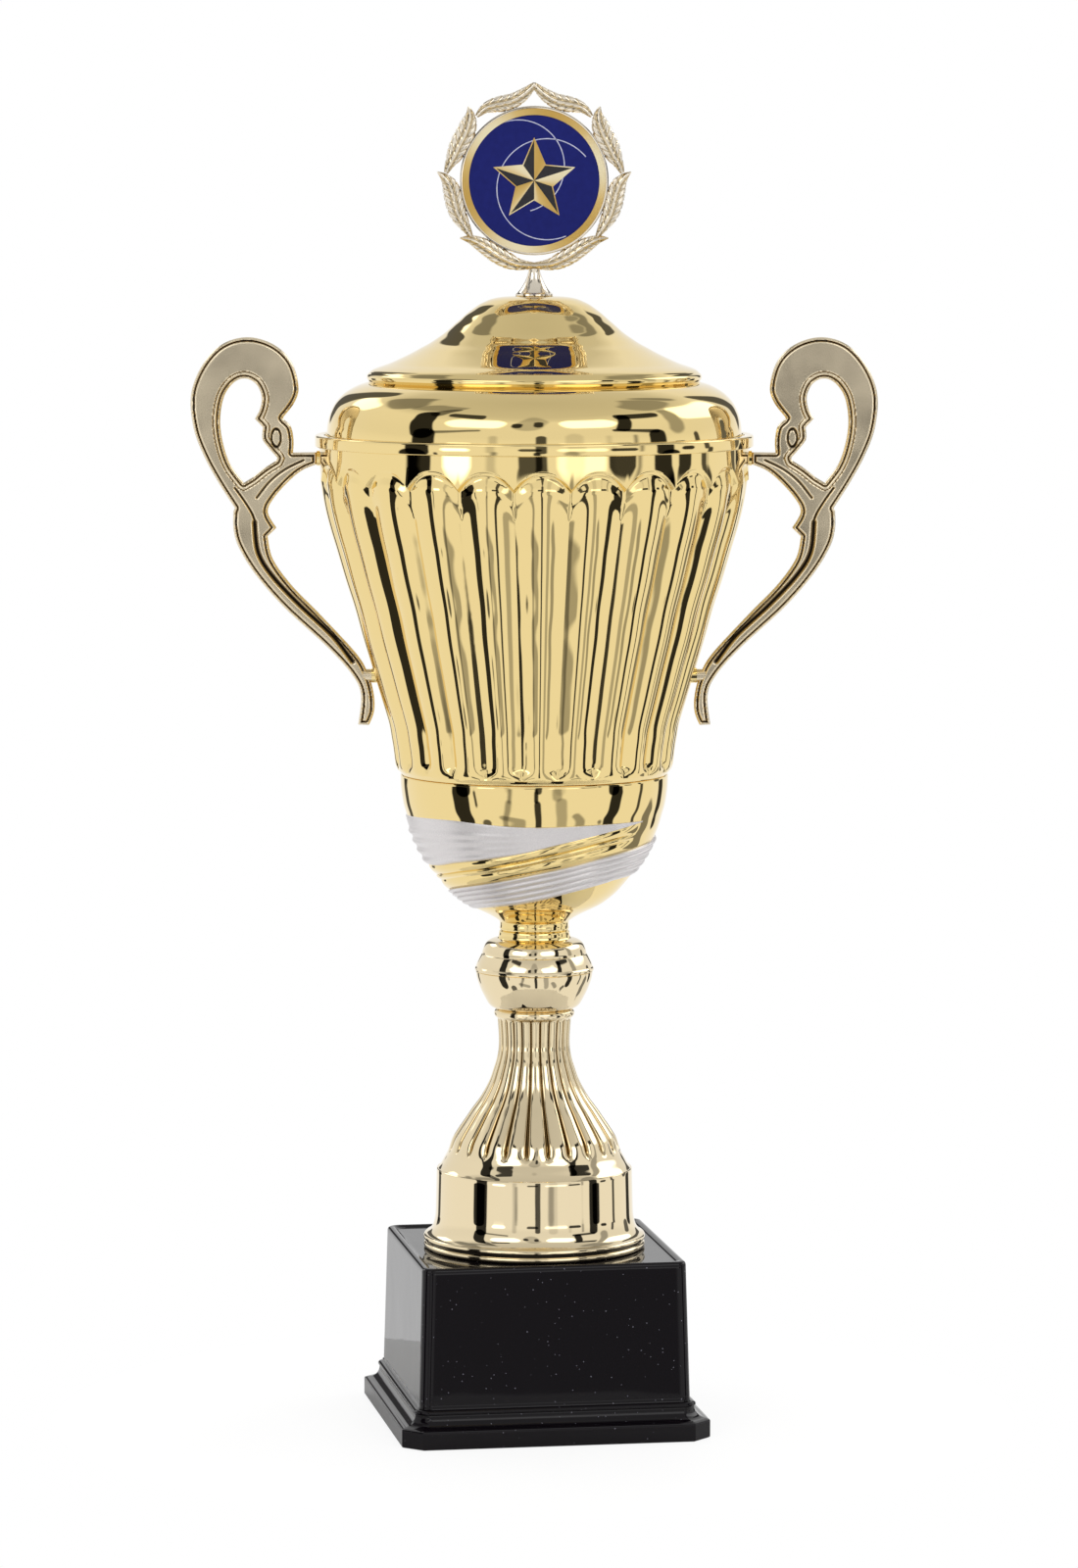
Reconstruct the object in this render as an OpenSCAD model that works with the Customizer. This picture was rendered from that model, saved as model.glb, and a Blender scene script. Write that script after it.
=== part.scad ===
// Two-handled presentation cup with a lift-off lid, a laurel emblem holder and a weighted square base.
// Millimetres. +Z is up, the front faces -Y and the handles lie along X.
// The origin is the centre of the base's underside.
// Parts are clamped on one threaded rod that runs from under the base up into the bowl.

/* [Base] */
// Width of the square flange at the floor
flange_w = 108.6; // [100:0.2:116]
// Height of the flange
flange_h = 6.6; // [5:0.2:9]
// Leg of the flange's cut corners
flange_cut = 6.4; // [4:0.2:9]
// Width across the flat sides of the block, at its foot
block_foot_w = 95.4; // [92:0.2:98]
// Width across the flat sides of the block, at its top
block_top_w = 92.8; // [90:0.2:94]
// Height of the block's top edge
block_top_z = 62; // [56:0.5:68]
// Angle by which the base stands turned under the cup
base_turn = 9.4; // [0:0.1:20]
// Wall of the hollow base moulding
base_wall = 2.4; // [1.8:0.1:3]

/* [Stem] */
// Outer radius of the drum foot
drum_r = 34.5; // [33:0.1:35.5]
// Radius of the two beads round the drum's foot
drum_bead_r = 39.2; // [38:0.1:40]
// Height of the drum's top edge
drum_top_z = 89.4; // [86:0.2:92]
// Crest radius at the waist of the fluted stem
stem_waist_r = 12.5; // [11.5:0.1:14]
// Height of the fluted stem's top
stem_top_z = 146; // [144:0.5:148]
// Height of the seam round the knob
knob_seam_z = 159.4; // [158:0.2:160]
// Largest radius of the knob
knob_r = 20.9; // [20:0.1:22]
// Height of the top of the knob
knob_top_z = 171; // [170:0.2:172]
// Height of the top of the neck collar, where the bowl stands
collar_top_z = 177.4; // [176:0.2:178]
// Number of lobes round the stem, and round the cup
lobes = 24; // [16:1:32]

/* [Cup] */
// Height of the seam between the bowl and the fluted cup
seam_z = 229.2; // [228:0.2:231]
// Height where the creases between the lobes end, under the rim
crease_top_z = 331; // [328:0.5:333]
// Rise of each arch above the creases' ends
arch_rise = 7; // [4:0.5:9]
// Radius of the plain band under the rim
band_r = 75.1; // [74.5:0.1:76]
// Radius of the rim
rim_r = 76.6; // [76:0.1:78]
// Height of the rim's lower edge
rim_low_z = 344; // [343:0.2:345]
// Height of the rim's top
rim_top_z = 348.2; // [347.6:0.2:349]
// Wall of the cup and of the bowl
cup_wall = 1.7; // [1.4:0.1:2]
// Angle from the front to the first crease
crease_angle = 9.7; // [0:0.1:15]
// Height of the ridges of the painted swirl
swirl_relief = 0.7; // [0.3:0.1:1]

/* [Lid] */
// Radius of the lid's edge, inside the rim
lid_r = 72.6; // [72:0.1:73]
// Height of the ledge in the cup's mouth that carries the lid
ledge_z = 345.6; // [345:0.1:346]
// Height of the lid's crown
lid_top_z = 396.4; // [394:0.2:398]
// Wall of the lid
lid_wall = 1.8; // [1.4:0.1:2.2]

/* [Emblem holder] */
// Diameter of the emblem disc
emblem_d = 50; // [50:1:50]
// Height of the emblem's centre
emblem_z = 436.4; // [434:0.2:438]
// Thickness of the emblem disc
emblem_t = 1.6; // [1:0.1:2]
// Height of the wreath's foot above the lid
wreath_foot_h = 9; // [7:0.5:11]

/* [Handles] */
// Thickness of the handle across its raised face
handle_t = 4.6; // [3.6:0.1:6]
// Thickness of the handle at its bevelled border
handle_edge_t = 2.6; // [1.6:0.1:3.4]
// Width of the bevelled border
handle_border = 1.3; // [0.8:0.1:1.6]

/* [Fasteners] */
// Radius of the tie rod
rod_r = 3; // [2.5:0.1:3]
// Radius of the clearance hole for the tie rod
rod_hole_r = 3.3; // [3.2:0.1:3.6]
// Radius of the handle screws' shanks
screw_r = 1.2; // [1:0.05:1.4]

/* [Hidden] */

gold = [0.87, 0.76, 0.45];
champagne = [0.83, 0.75, 0.58];
pale_gold = [0.88, 0.83, 0.72];
black = [0.08, 0.07, 0.09];
steel = [0.7, 0.7, 0.72];
plaster = [0.85, 0.84, 0.8];
emblem_blue = [0.1, 0.14, 0.44];

fine = 96;
lip_depth = 0.8;
panel_z = block_top_z - lip_depth;
pad_t = 1.6;
ballast_top_z = 46;
pocket_r = 17;
pocket_z = 12;
washer_t = 1.5;
nut_h = 5;
nut_flats = 10;
deck_t = 2.5;
bowl_floor_z = 182.6;
spigot_h = 8;
spigot_r = 45;
mouth_r = 73.4;
ledge_r = 70.6;
dish_r = emblem_d / 2 + 0.9;
dish_t = 3.2;
dish_back_y = 1.2;
stud_r = 2;
upper_boss = [76, 339.8];
lower_boss = [57, 263.6];
screw_len = 9;
screw_head_r = 2.6;
screw_head_h = 1.8;
boss_r = 2.9;

// ---- curves and surfaces from a few key points ----

// Point on the smooth curve through p, a share t of the way from point i to the next
function on_curve(p, i, t) =
    let (n = len(p), a = p[max(i - 1, 0)], b = p[i], c = p[i + 1], d = p[min(i + 2, n - 1)])
    0.5 * (2 * b + (c - a) * t + (2 * a - 5 * b + 4 * c - d) * t * t + (3 * b - a - 3 * c + d) * t * t * t);

// Smooth curve through the key points p, with n steps between neighbours
function smooth(p, n = 4) =
    concat([for (i = [0 : len(p) - 2]) for (k = [0 : n - 1]) on_curve(p, i, k / n)], [p[len(p) - 1]]);

function unit(v) = v / norm(v);
function reversed(p) = [for (i = [len(p) - 1 : -1 : 0]) p[i]];
function mix(a, b, t) = a + (b - a) * t;
function clamp01(t) = min(max(t, 0), 1);
function ease(t) = let (c = clamp01(t)) c * c * (3 - 2 * c);

// Curve p moved by w towards its left side, the inner side of a profile drawn upwards
function inset(p, w) =
    [for (i = [0 : len(p) - 1])
        let (t = unit(p[min(i + 1, len(p) - 1)] - p[max(i - 1, 0)])) p[i] - w * [t[1], -t[0]]];

// Arc of n steps about c, from angle a to angle b
function arc(c, r, a, b, n = 6) = [for (k = [0 : n]) let (t = mix(a, b, k / n)) c + r * [cos(t), sin(t)]];

// Radius at height z on a profile of [radius, height] points
function radius_at(p, z) = lookup(z, [for (q = p) [q[1], q[0]]]);

// Closed solid through a stack of rings, lowest first, each with the same number of points
module stack(rings) {
    n = len(rings[0]);
    m = len(rings);
    polyhedron(
        points = [for (r = rings) for (p = r) p],
        faces = concat(
            [[for (i = [0 : n - 1]) i]],
            [[for (i = [n - 1 : -1 : 0]) (m - 1) * n + i]],
            [for (k = [0 : m - 2]) for (i = [0 : n - 1]) [k * n + i, k * n + n + i, k * n + n + (i + 1) % n]],
            [for (k = [0 : m - 2]) for (i = [0 : n - 1]) [k * n + i, k * n + n + (i + 1) % n, k * n + (i + 1) % n]]),
        convexity = 6);
}

// Square ring at height z: half is half its width, cut the corner's leg, and bulge rounds the corner from 0 to 1
function square_ring(z, half, cut, bulge) =
    [for (q = [0 : 3]) for (j = [0 : 4])
        let (t = j / 4,
             flat = [half - cut * t, half - cut * (1 - t)],
             round = [half - cut + cut * cos(90 * t), half - cut + cut * sin(90 * t)],
             p = mix(flat, round, bulge), a = 90 * q + base_turn)
        [p[0] * cos(a) - p[1] * sin(a), p[0] * sin(a) + p[1] * cos(a), z]];

module hex_nut(z, h, flats, hole_r) {
    translate([0, 0, z]) difference() {
        cylinder(h = h, r = flats / sqrt(3), $fn = 6);
        translate([0, 0, -1]) cylinder(h = h + 2, r = hole_r, $fn = fine);
    }
}

module washer(z, h, r, hole_r) {
    translate([0, 0, z]) difference() {
        cylinder(h = h, r = r, $fn = fine);
        translate([0, 0, -1]) cylinder(h = h + 2, r = hole_r, $fn = fine);
    }
}

module turned(profile) {
    rotate_extrude($fn = fine) polygon(profile);
}

// ---- base ----

cove_r = 4.3;
cove_half = flange_w / 2 - 0.9;
bead_z = flange_h + 0.2 + cove_r;
block_foot = block_foot_w / 2;
block_top = block_top_w / 2;

module base_shell() {
    outer = concat(
        [square_ring(0, flange_w / 2, flange_cut, 0),
         square_ring(flange_h - 0.5, flange_w / 2, flange_cut, 0),
         square_ring(flange_h, flange_w / 2 - 0.5, flange_cut - 0.2, 0)],
        [for (a = [0 : 18 : 90])
            square_ring(flange_h + 0.2 + cove_r * (1 - cos(a)), cove_half - cove_r * sin(a),
                        mix(flange_cut, 4, a / 90), 0.4 * a / 90)],
        [square_ring(bead_z + 0.5, cove_half - cove_r + 0.3, 4, 0.5),
         square_ring(bead_z + 1.3, cove_half - cove_r + 0.3, 4, 0.6),
         square_ring(bead_z + 1.8, cove_half - cove_r - 0.3, 3.8, 0.8),
         square_ring(bead_z + 2, block_foot, 3.6, 1),
         square_ring(block_top_z - 1, block_top, 3.6, 1),
         square_ring(block_top_z - 0.3, block_top - 0.3, 3.4, 1),
         square_ring(block_top_z, block_top - 1, 3.2, 1),
         square_ring(block_top_z, block_top - 2.8, 2.6, 1),
         square_ring(panel_z, block_top - 3.6, 2.4, 1)]);
    shelf_z = flange_h - base_wall;
    color(black) difference() {
        stack(outer);
        stack([square_ring(-1, flange_w / 2 - base_wall, flange_cut - 1, 0),
               square_ring(shelf_z, flange_w / 2 - base_wall, flange_cut - 1, 0)]);
        difference() {
            stack([square_ring(shelf_z - 1, block_foot - base_wall, 3, 1),
                   square_ring(panel_z - base_wall, block_top - base_wall, 3, 1)]);
            translate([0, 0, ballast_top_z]) cylinder(h = panel_z, r = 8, $fn = fine);
        }
        translate([0, 0, -1]) cylinder(h = block_top_z + 2, r = rod_hole_r, $fn = fine);
    }
}

module base_ballast() {
    gap = 0.4;
    top_half = mix(block_foot, block_top, (ballast_top_z - flange_h) / (panel_z - flange_h));
    color(plaster) difference() {
        stack([square_ring(pad_t, block_foot - base_wall - gap, 3, 1),
               square_ring(ballast_top_z, top_half - base_wall - gap, 3, 1)]);
        translate([0, 0, -1]) cylinder(h = pocket_z + 1, r = pocket_r, $fn = fine);
        translate([0, 0, -1]) cylinder(h = ballast_top_z + 2, r = rod_hole_r, $fn = fine);
    }
}

module base_pad() {
    ring = square_ring(0, flange_w / 2 - base_wall - 0.3, flange_cut - 1.2, 0);
    corners = [for (i = [0 : len(ring) - 1]) if (i % 5 == 0 || i % 5 == 4) [ring[i][0], ring[i][1]]];
    color(black) linear_extrude(height = pad_t) polygon(corners);
}

module tie_rod() {
    color(steel) translate([0, 0, 4]) cylinder(h = 187.5, r = rod_r, $fn = fine);
}

module base_washer() {
    color(steel) washer(pocket_z - washer_t, washer_t, 15, rod_hole_r);
}

module base_nut() {
    color(steel) hex_nut(pocket_z - washer_t - nut_h, nut_h, nut_flats, rod_r);
}

// ---- stem ----

module drum_foot() {
    bead = 1.15;
    outer = concat(
        [[drum_bead_r - 2.6, panel_z]],
        arc([drum_bead_r - bead, panel_z + bead], bead, -60, 60),
        arc([drum_bead_r - bead, panel_z + 3.5 * bead], bead, -60, 70),
        smooth([[drum_bead_r - 1.6, panel_z + 5.2], [36.6, panel_z + 6.6], [35.5, panel_z + 8.6],
                [drum_r + 0.5, panel_z + 12], [drum_r, panel_z + 20], [drum_r, drum_top_z - 0.4]]),
        [[drum_r - 0.4, drum_top_z]]);
    inner = [[rod_hole_r, drum_top_z], [rod_hole_r, panel_z + 4], [7, panel_z + 4],
             [7, drum_top_z - deck_t], [drum_r - 2.4, drum_top_z - deck_t],
             [drum_r - 2, panel_z + 9], [35, panel_z + 4], [35, panel_z]];
    color(champagne) turned(concat(outer, inner));
}

stem_crest = smooth([[30.2, 96], [28.9, 99.9], [26.8, 103.4], [22, 110.4], [17.3, 117.4], [14.4, 124.4],
                     [12.7, 131.4], [stem_waist_r, 135.5], [12.7, 139], [13, 142]], 3);

// Radius of the stem at height z, where u runs from -1 to 1 across a lobe
function stem_r(z, u) =
    let (crest = radius_at(stem_crest, z), depth = 0.062 * crest + 0.15, fade = ease((z - 95.4) / 3.2))
    crest - depth * fade * (0.6 * pow(u, 2) + 0.4 * pow(u, 6));

// Ring of a lobed surface: f gives the radius and height at place u across each lobe
function lobe_places(marks) =
    [for (k = [0 : lobes - 1]) for (u = marks) [(k + (u + 1) / 2) * 360 / lobes + crease_angle, u]];

function polar(r, a, z) = [r * sin(a), -r * cos(a), z];

module fluted_stem() {
    places = lobe_places([-1, -0.5, 0, 0.5]);
    heights = [96, 97.4, 99, 102, 105.5, 110, 115, 120, 125, 130, 136, 141.6];
    flare = [[drum_r - 0.5, drum_top_z], [drum_r - 1, drum_top_z + 1], [31.9, 92.9], [30.6, 95]];
    rings = concat(
        [for (f = flare) [for (p = places) polar(f[0], p[0], f[1])]],
        [for (z = heights) [for (p = places) polar(stem_r(z, p[1]), p[0], z)]],
        [[for (p = places) polar(13, p[0], 142.6)]]);
    bead_bottom = 142.6;
    bead_c = (stem_top_z + bead_bottom) / 2;
    cavity = concat([[rod_hole_r, drum_top_z - 1], [drum_r - 4, drum_top_z - 1], [drum_r - 4, drum_top_z + 1]],
                    [[26.5, 96], [22, 103], [15.5, 112], [11, 121], [9.6, 130], [9.6, 138], [rod_hole_r, 138]]);
    color(champagne) difference() {
        union() {
            stack(rings);
            turned(concat([[0, bead_bottom - 0.5], [12.4, bead_bottom - 0.5]],
                          arc([12.6, bead_c], (stem_top_z - bead_bottom) / 2, -80, 80),
                          [[12.4, stem_top_z], [0, stem_top_z]]));
        }
        turned(concat(cavity));
        translate([0, 0, drum_top_z - 2]) cylinder(h = stem_top_z, r = rod_hole_r, $fn = fine);
    }
}

module knob_cup() {
    outer = smooth([[13.2, stem_top_z], [15.2, stem_top_z + 0.8], [16.9, 148.9], [18.6, 152.3],
                    [19.9, 155.8], [20.6, knob_seam_z]]);
    inner = [[17.6, knob_seam_z], [16, 153], [12, 149], [rod_hole_r, 149], [rod_hole_r, stem_top_z]];
    color(champagne) turned(concat(outer, inner));
}

module knob_cap() {
    outer = concat(
        [[knob_r, knob_seam_z]],
        arc([knob_r - 0.5, knob_seam_z + 1.6], 0.5, 0, 80, 3),
        smooth([[20.2, knob_seam_z + 2.4], [19.6, 163.4], [18.5, 165.6]], 4),
        smooth([[18.1, 165.9], [17.6, 167.6], [16.5, 169.6], [14.6, 170.7], [13, knob_top_z]], 4));
    inner = [[rod_hole_r, knob_top_z], [rod_hole_r, 168], [13, 168], [15.6, 165], [17.6, knob_seam_z]];
    color(champagne) turned(concat(outer, inner));
}

module neck_collar() {
    groove_z = 173.9;
    outer = concat(
        smooth([[13, knob_top_z], [12.5, 172], [12.3, groove_z - 0.4]], 4),
        [[11.8, groove_z], [12.2, groove_z + 0.4]],
        smooth([[12.2, groove_z + 0.4], [12, 175.8], [12.5, collar_top_z]], 4));
    color(gold) turned(concat(outer, [[rod_hole_r, collar_top_z], [rod_hole_r, knob_top_z]]));
}

// ---- bowl with the raised swirl ----

bowl_skin = smooth([[12.6, collar_top_z], [17.6, 180.3], [24, 183.7], [28.4, 187.1], [34.4, 194.1],
                    [39.4, 201], [42.6, 208], [44.8, 214.9], [46.5, 221.8], [47, seam_z]], 3);

// The swirl starts at a point on the right and runs round to the left, downwards, for 1.3 turns
swirl_start = 57;
swirl_turn = 467;
swirl_top = [[0, 215.2], [57, 215.6], [147, 215.5], [237, 211.5], [327, 205.6], [417, 197.4], [467, 189]];
swirl_low = [[0, 214.6], [57, 205.8], [147, 196.5], [237, 194.5], [327, 192], [417, 188.2], [467, 186.5]];
swirl_ridges = 4;

// Relief of one pass of the swirl at angle s along it and height z
function pass_relief(s, z) =
    s > swirl_turn ? 0 :
    let (top = lookup(s, swirl_top), low = lookup(s, swirl_low), v = (z - low) / max(top - low, 0.5))
    v < 0 || v > 1 ? 0 : swirl_relief * (0.35 + 0.65 * abs(sin(180 * swirl_ridges * v)));

function bowl_r(a, z) =
    let (s = (swirl_start - a + 720) % 360)
    radius_at(bowl_skin, z) + max(pass_relief(s, z), pass_relief(s + 360, z));

module lower_bowl() {
    steps = 60;
    rows = concat([collar_top_z, 179, 181, 183], [for (z = [184.4 : 1.3 : 216]) z], [219, 223, 226.5, seam_z]);
    rings = [for (z = rows) [for (i = [0 : steps - 1]) let (a = i * 360 / steps) polar(bowl_r(a, z), a, z)]];
    inner = concat([[0, bowl_floor_z], [15, bowl_floor_z]],
                   [for (z = [188, 194, 201, 208, 216, 223]) [radius_at(bowl_skin, z) - cup_wall - 0.4, z]],
                   [[spigot_r - cup_wall, seam_z + 1], [spigot_r - cup_wall, seam_z + spigot_h + 1],
                    [0, seam_z + spigot_h + 1]]);
    color(gold) difference() {
        union() {
            stack(rings);
            translate([0, 0, seam_z - 1]) cylinder(h = spigot_h + 1, r = spigot_r, $fn = fine);
        }
        turned(inner);
        translate([0, 0, collar_top_z - 1]) cylinder(h = 20, r = rod_hole_r, $fn = fine);
    }
}

module bowl_washer() {
    color(steel) washer(bowl_floor_z, washer_t, 12, rod_hole_r);
}

module bowl_nut() {
    color(steel) hex_nut(bowl_floor_z + washer_t, nut_h, nut_flats, rod_r);
}

// ---- fluted cup ----

cup_crest = smooth([[47.6, 230.4], [48.6, 232.2], [49.5, 239], [50.7, 246], [53.1, 253], [55.9, 263.4],
                    [60.9, 280.5], [66.6, 300], [71.2, 315], [73.5, 325], [74.6, 332], [74.8, 340]], 3);

// Depth of the creases between the lobes at height z
function crease_depth(z) = mix(1.5, 3.2, clamp01((z - 240) / 90)) * ease((z - 231) / 7);

function cup_r(z, u) =
    radius_at(cup_crest, z) - crease_depth(z) * (0.45 * pow(u, 2) + 0.55 * pow(u, 6));

// Height of the scalloped edge of the plain band at place u across a lobe
function arch_z(u) = crease_top_z + arch_rise * sqrt(max(1 - u * u, 0));

module cup_boss(side, at, inner_x) {
    // Flat pads inside and outside the wall that the handle's end and the screw's head bear on
    x0 = min(inner_x, at[0]);
    translate([side * x0, 0, at[1]]) rotate([0, side * 90, 0]) cylinder(h = at[0] - x0, r = boss_r, $fn = 32);
}

upper_pad_x = 71.7;
lower_pad_x = 51.2;

module fluted_cup() {
    places = lobe_places([-1, -0.72, -0.25, 0.25, 0.72]);
    low = 231;
    shares = [0, 0.025, 0.05, 0.08, 0.15, 0.24, 0.34, 0.45, 0.56, 0.67, 0.78, 0.87, 0.94, 0.98];
    rings = concat(
        [[for (p = places) polar(46.6, p[0], seam_z)],
         [for (p = places) polar(47.5, p[0], seam_z + 0.7)]],
        [for (s = shares) [for (p = places)
            let (z = mix(low, arch_z(p[1]), s)) polar(cup_r(z, p[1]), p[0], z)]],
        [[for (p = places) let (z = arch_z(p[1])) polar(cup_r(z, p[1]) - 0.9, p[0], z)],
         [for (p = places) polar(band_r, p[0], arch_z(p[1]) + 1.3)],
         [for (p = places) polar(band_r, p[0], rim_low_z)]]);
    rim = concat([[ledge_r - 1, rim_low_z]], arc([rim_r - 0.5, rim_low_z + 0.5], 0.5, -90, 0, 3),
                 arc([rim_r - 0.8, rim_top_z - 0.8], 0.8, 0, 90, 4), [[ledge_r - 1, rim_top_z]]);
    wall_line = [for (z = [242, 250, 263, 280, 300, 320, 330])
        [radius_at(cup_crest, z) - crease_depth(z) - cup_wall, z]];
    cavity = concat([[0, seam_z - 1], [spigot_r + 0.1, seam_z - 1], [spigot_r + 0.1, seam_z + spigot_h + 1]],
                    wall_line,
                    [[69.9, 335], [72.6, 340], [72.6, 343], [ledge_r, 344.2], [ledge_r, ledge_z],
                     [mouth_r, ledge_z], [mouth_r, rim_top_z + 1], [0, rim_top_z + 1]]);
    color(gold) difference() {
        union() {
            difference() {
                union() {
                    stack(rings);
                    turned(concat([[0, rim_low_z]], rim, [[0, rim_top_z]]));
                }
                turned(cavity);
            }
            for (side = [-1, 1]) {
                cup_boss(side, upper_boss, upper_pad_x);
                cup_boss(side, lower_boss, lower_pad_x);
            }
        }
        for (side = [-1, 1]) for (at = [upper_boss, lower_boss])
            translate([side * (at[0] - 9), 0, at[1]]) rotate([0, side * 90, 0])
                cylinder(h = 12, r = screw_r + 0.2, $fn = 32);
        // Spot faces that the screws' heads sit in
        for (side = [-1, 1]) for (seat = [[upper_pad_x, upper_boss[1]], [lower_pad_x, lower_boss[1]]])
            translate([side * (seat[0] - 4), 0, seat[1]]) rotate([0, side * 90, 0])
                cylinder(h = 4, r = screw_head_r + 0.2, $fn = 32);
    }
}

// ---- handles, drawn as [distance from the cup's axis, height] ----

handle_over = smooth([[87.8, 353.9], [83.6, 359.5], [82.3, 365], [84.8, 373.5], [91, 379.5], [100, 382],
                      [109, 379.5], [116, 372], [119.8, 362], [119, 350.5], [115.5, 340.8], [110.5, 331.5],
                      [104.7, 322.4]], 3);
handle_outside = smooth([[105.2, 321.4], [105.2, 315], [103.3, 308.5], [97.5, 299], [87.5, 287.5], [72.5, 273.6],
                         [63.8, 263.8], [60.8, 256.7], [61.8, 246.4]], 3);
handle_inside = smooth([[58, 246.2], [56.2, 251], [56.3, 257], [58.2, 264], [62.4, 271.3], [75, 285],
                        [85, 295.3], [91.5, 304.5], [93.3, 312.4]], 3);
handle_lug = smooth([[90.2, 315.4], [93.2, 321], [90.9, 326], [85.5, 332], [81, 335.6], [upper_boss[0], 337.7]], 2);
handle_neck = smooth([[84.3, 341.8], [84.1, 346], [85, 350.8], [87.4, 353.3]], 2);
handle_outline = concat(handle_over, handle_outside, handle_inside, handle_lug,
                        [[upper_boss[0], 341.9]], handle_neck);
eye_outline = concat(
    smooth([[101.6, 331.2], [106.1, 337.4], [108.7, 344.8], [109.7, 353], [108.4, 361], [105, 366], [101, 367.6],
            [97.2, 365.8], [95.2, 361.5], [95.8, 357], [97.6, 353.6]], 3),
    smooth([[94.8, 350.6], [95, 346.6], [93, 343.6], [89.8, 339.9]], 2),
    smooth([[90.2, 339], [94.3, 336.4], [98.3, 333.2]], 2));
eye_border = concat(
    smooth([[102, 329.4], [107.2, 336.6], [110, 344.4], [111, 353], [109.6, 361.6], [105.9, 367], [101, 368.9],
            [96.2, 366.9], [93.9, 361.5], [94.4, 356.6], [95.6, 354]], 3),
    smooth([[93, 351.4], [93.6, 347], [91.6, 343.9], [88.3, 340.2]], 2),
    smooth([[89.2, 338.2], [93.5, 335.3], [97.5, 332]], 2));

// Closed outline, drawn clockwise, moved inwards by w
function closed_inset(p, w) =
    let (n = len(p))
    [for (i = [0 : n - 1])
        let (a = unit(p[i] - p[(i + n - 1) % n]), b = unit(p[(i + 1) % n] - p[i]), t = unit(a + b),
             reach = w / max(sqrt((1 + a * b) / 2), 0.6))
        p[i] + reach * [t[1], -t[0]]];

// Flat shape in the plane of the handles, t thick and centred on it
module handle_plate(shape, t) {
    translate([0, t / 2, 0]) rotate([90, 0, 0]) linear_extrude(height = t) polygon(shape);
}

// Groove of varying width along the curve through p
module groove(p, w, depth) {
    c = smooth(p, 2);
    n = len(c);
    half = [for (i = [0 : n - 1]) w / 2 * sqrt(sin(180 * mix(0.06, 0.94, i / (n - 1))))];
    band = concat([for (i = [0 : n - 1]) inset(c, half[i])[i]], reversed([for (i = [0 : n - 1]) inset(c, -half[i])[i]]));
    for (s = [-1, 1]) translate([0, s * (handle_t / 2 - depth / 2 + 0.5), 0]) handle_plate(band, depth + 1);
}

module handle() {
    drop = [for (a = [0 : 24 : 336]) [90.1 + 1.5 * sin(a) * (1 - 0.25 * cos(a)), 347 + 3 * cos(a)]];
    color(champagne) difference() {
        union() {
            handle_plate(handle_outline, handle_edge_t);
            handle_plate(closed_inset(handle_outline, handle_border), handle_t);
            translate([lower_boss[0], 0, lower_boss[1]]) rotate([0, 90, 0]) cylinder(h = 3.4, r = 2.3, $fn = 32);
        }
        handle_plate(eye_outline, handle_t + 2);
        for (s = [-1, 1]) translate([0, s * (handle_edge_t / 2 + handle_t), 0])
            handle_plate(eye_border, 2 * handle_t);
        groove([[104.6, 329.5], [101.4, 325], [98.2, 320.8], [94.8, 317.6]], 1.2, 0.7);
        groove([[97.8, 314], [96.6, 307], [91.6, 298.6], [82, 288.4], [70.5, 277.6], [63.6, 268.6]], 1.4, 0.8);
        groove([[80.6, 339.2], [87, 336], [92.5, 331.6], [97, 326]], 1.1, 0.6);
        for (s = [-1, 1]) translate([0, s * handle_t / 2, 0]) handle_plate(drop, 1.2);
        for (at = [upper_boss, lower_boss])
            translate([at[0] - 1, 0, at[1]]) rotate([0, 90, 0]) cylinder(h = 7, r = screw_r + 0.05, $fn = 32);
    }
}

module right_handle() {
    handle();
}

module left_handle() {
    mirror([1, 0, 0]) handle();
}

module handle_screw(at, pad_x) {
    translate([pad_x, 0, at[1]]) rotate([0, 90, 0]) {
        cylinder(h = at[0] - pad_x + 5, r = screw_r, $fn = 32);
        translate([0, 0, -screw_head_h]) cylinder(h = screw_head_h, r = screw_head_r, $fn = 32);
    }
}

module handle_screws() {
    color(steel) {
        handle_screw(upper_boss, upper_pad_x);
        handle_screw(lower_boss, lower_pad_x);
    }
}

module right_handle_screws() {
    handle_screws();
}

module left_handle_screws() {
    mirror([1, 0, 0]) handle_screws();
}

// ---- lid ----

lid_shoulder = smooth([[lid_r - 1, ledge_z], [lid_r, 347], [72.3, 351], [71, 356], [69.1, 359.5], [66, 362.9],
                       [62.8, 364.9], [60, 366.1], [57.6, 366.4]], 4);
lid_cone = smooth([[57.2, 370.2], [50.4, 373.1], [42.7, 376.5], [36.5, 379.9], [31.4, 383.4], [27.5, 386.8],
                   [23.6, 390.2], [19.2, 393.4], [15, 395.3], [8, 396.2], [stud_r + 0.2, lid_top_z]], 4);

module lid() {
    bead_c = [56.7, 368.3];
    outer = concat(lid_shoulder, arc(bead_c, 1.75, -70, 70, 8), lid_cone);
    cone_in = inset(lid_cone, lid_wall);
    inner = concat(reversed([for (p = cone_in) if (p[0] > 7) p]), [[56, 366.4 - lid_wall]],
                   reversed([for (p = inset(lid_shoulder, lid_wall)) if (p[1] > ledge_z + 1 && p[0] > 57.5) p]),
                   [[ledge_r + 0.2, ledge_z]]);
    crown = [[stud_r + 0.2, lid_top_z - 3], [7, lid_top_z - 3]];
    color(gold) turned(concat(outer, crown, inner));
}

// ---- emblem holder ----

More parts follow.
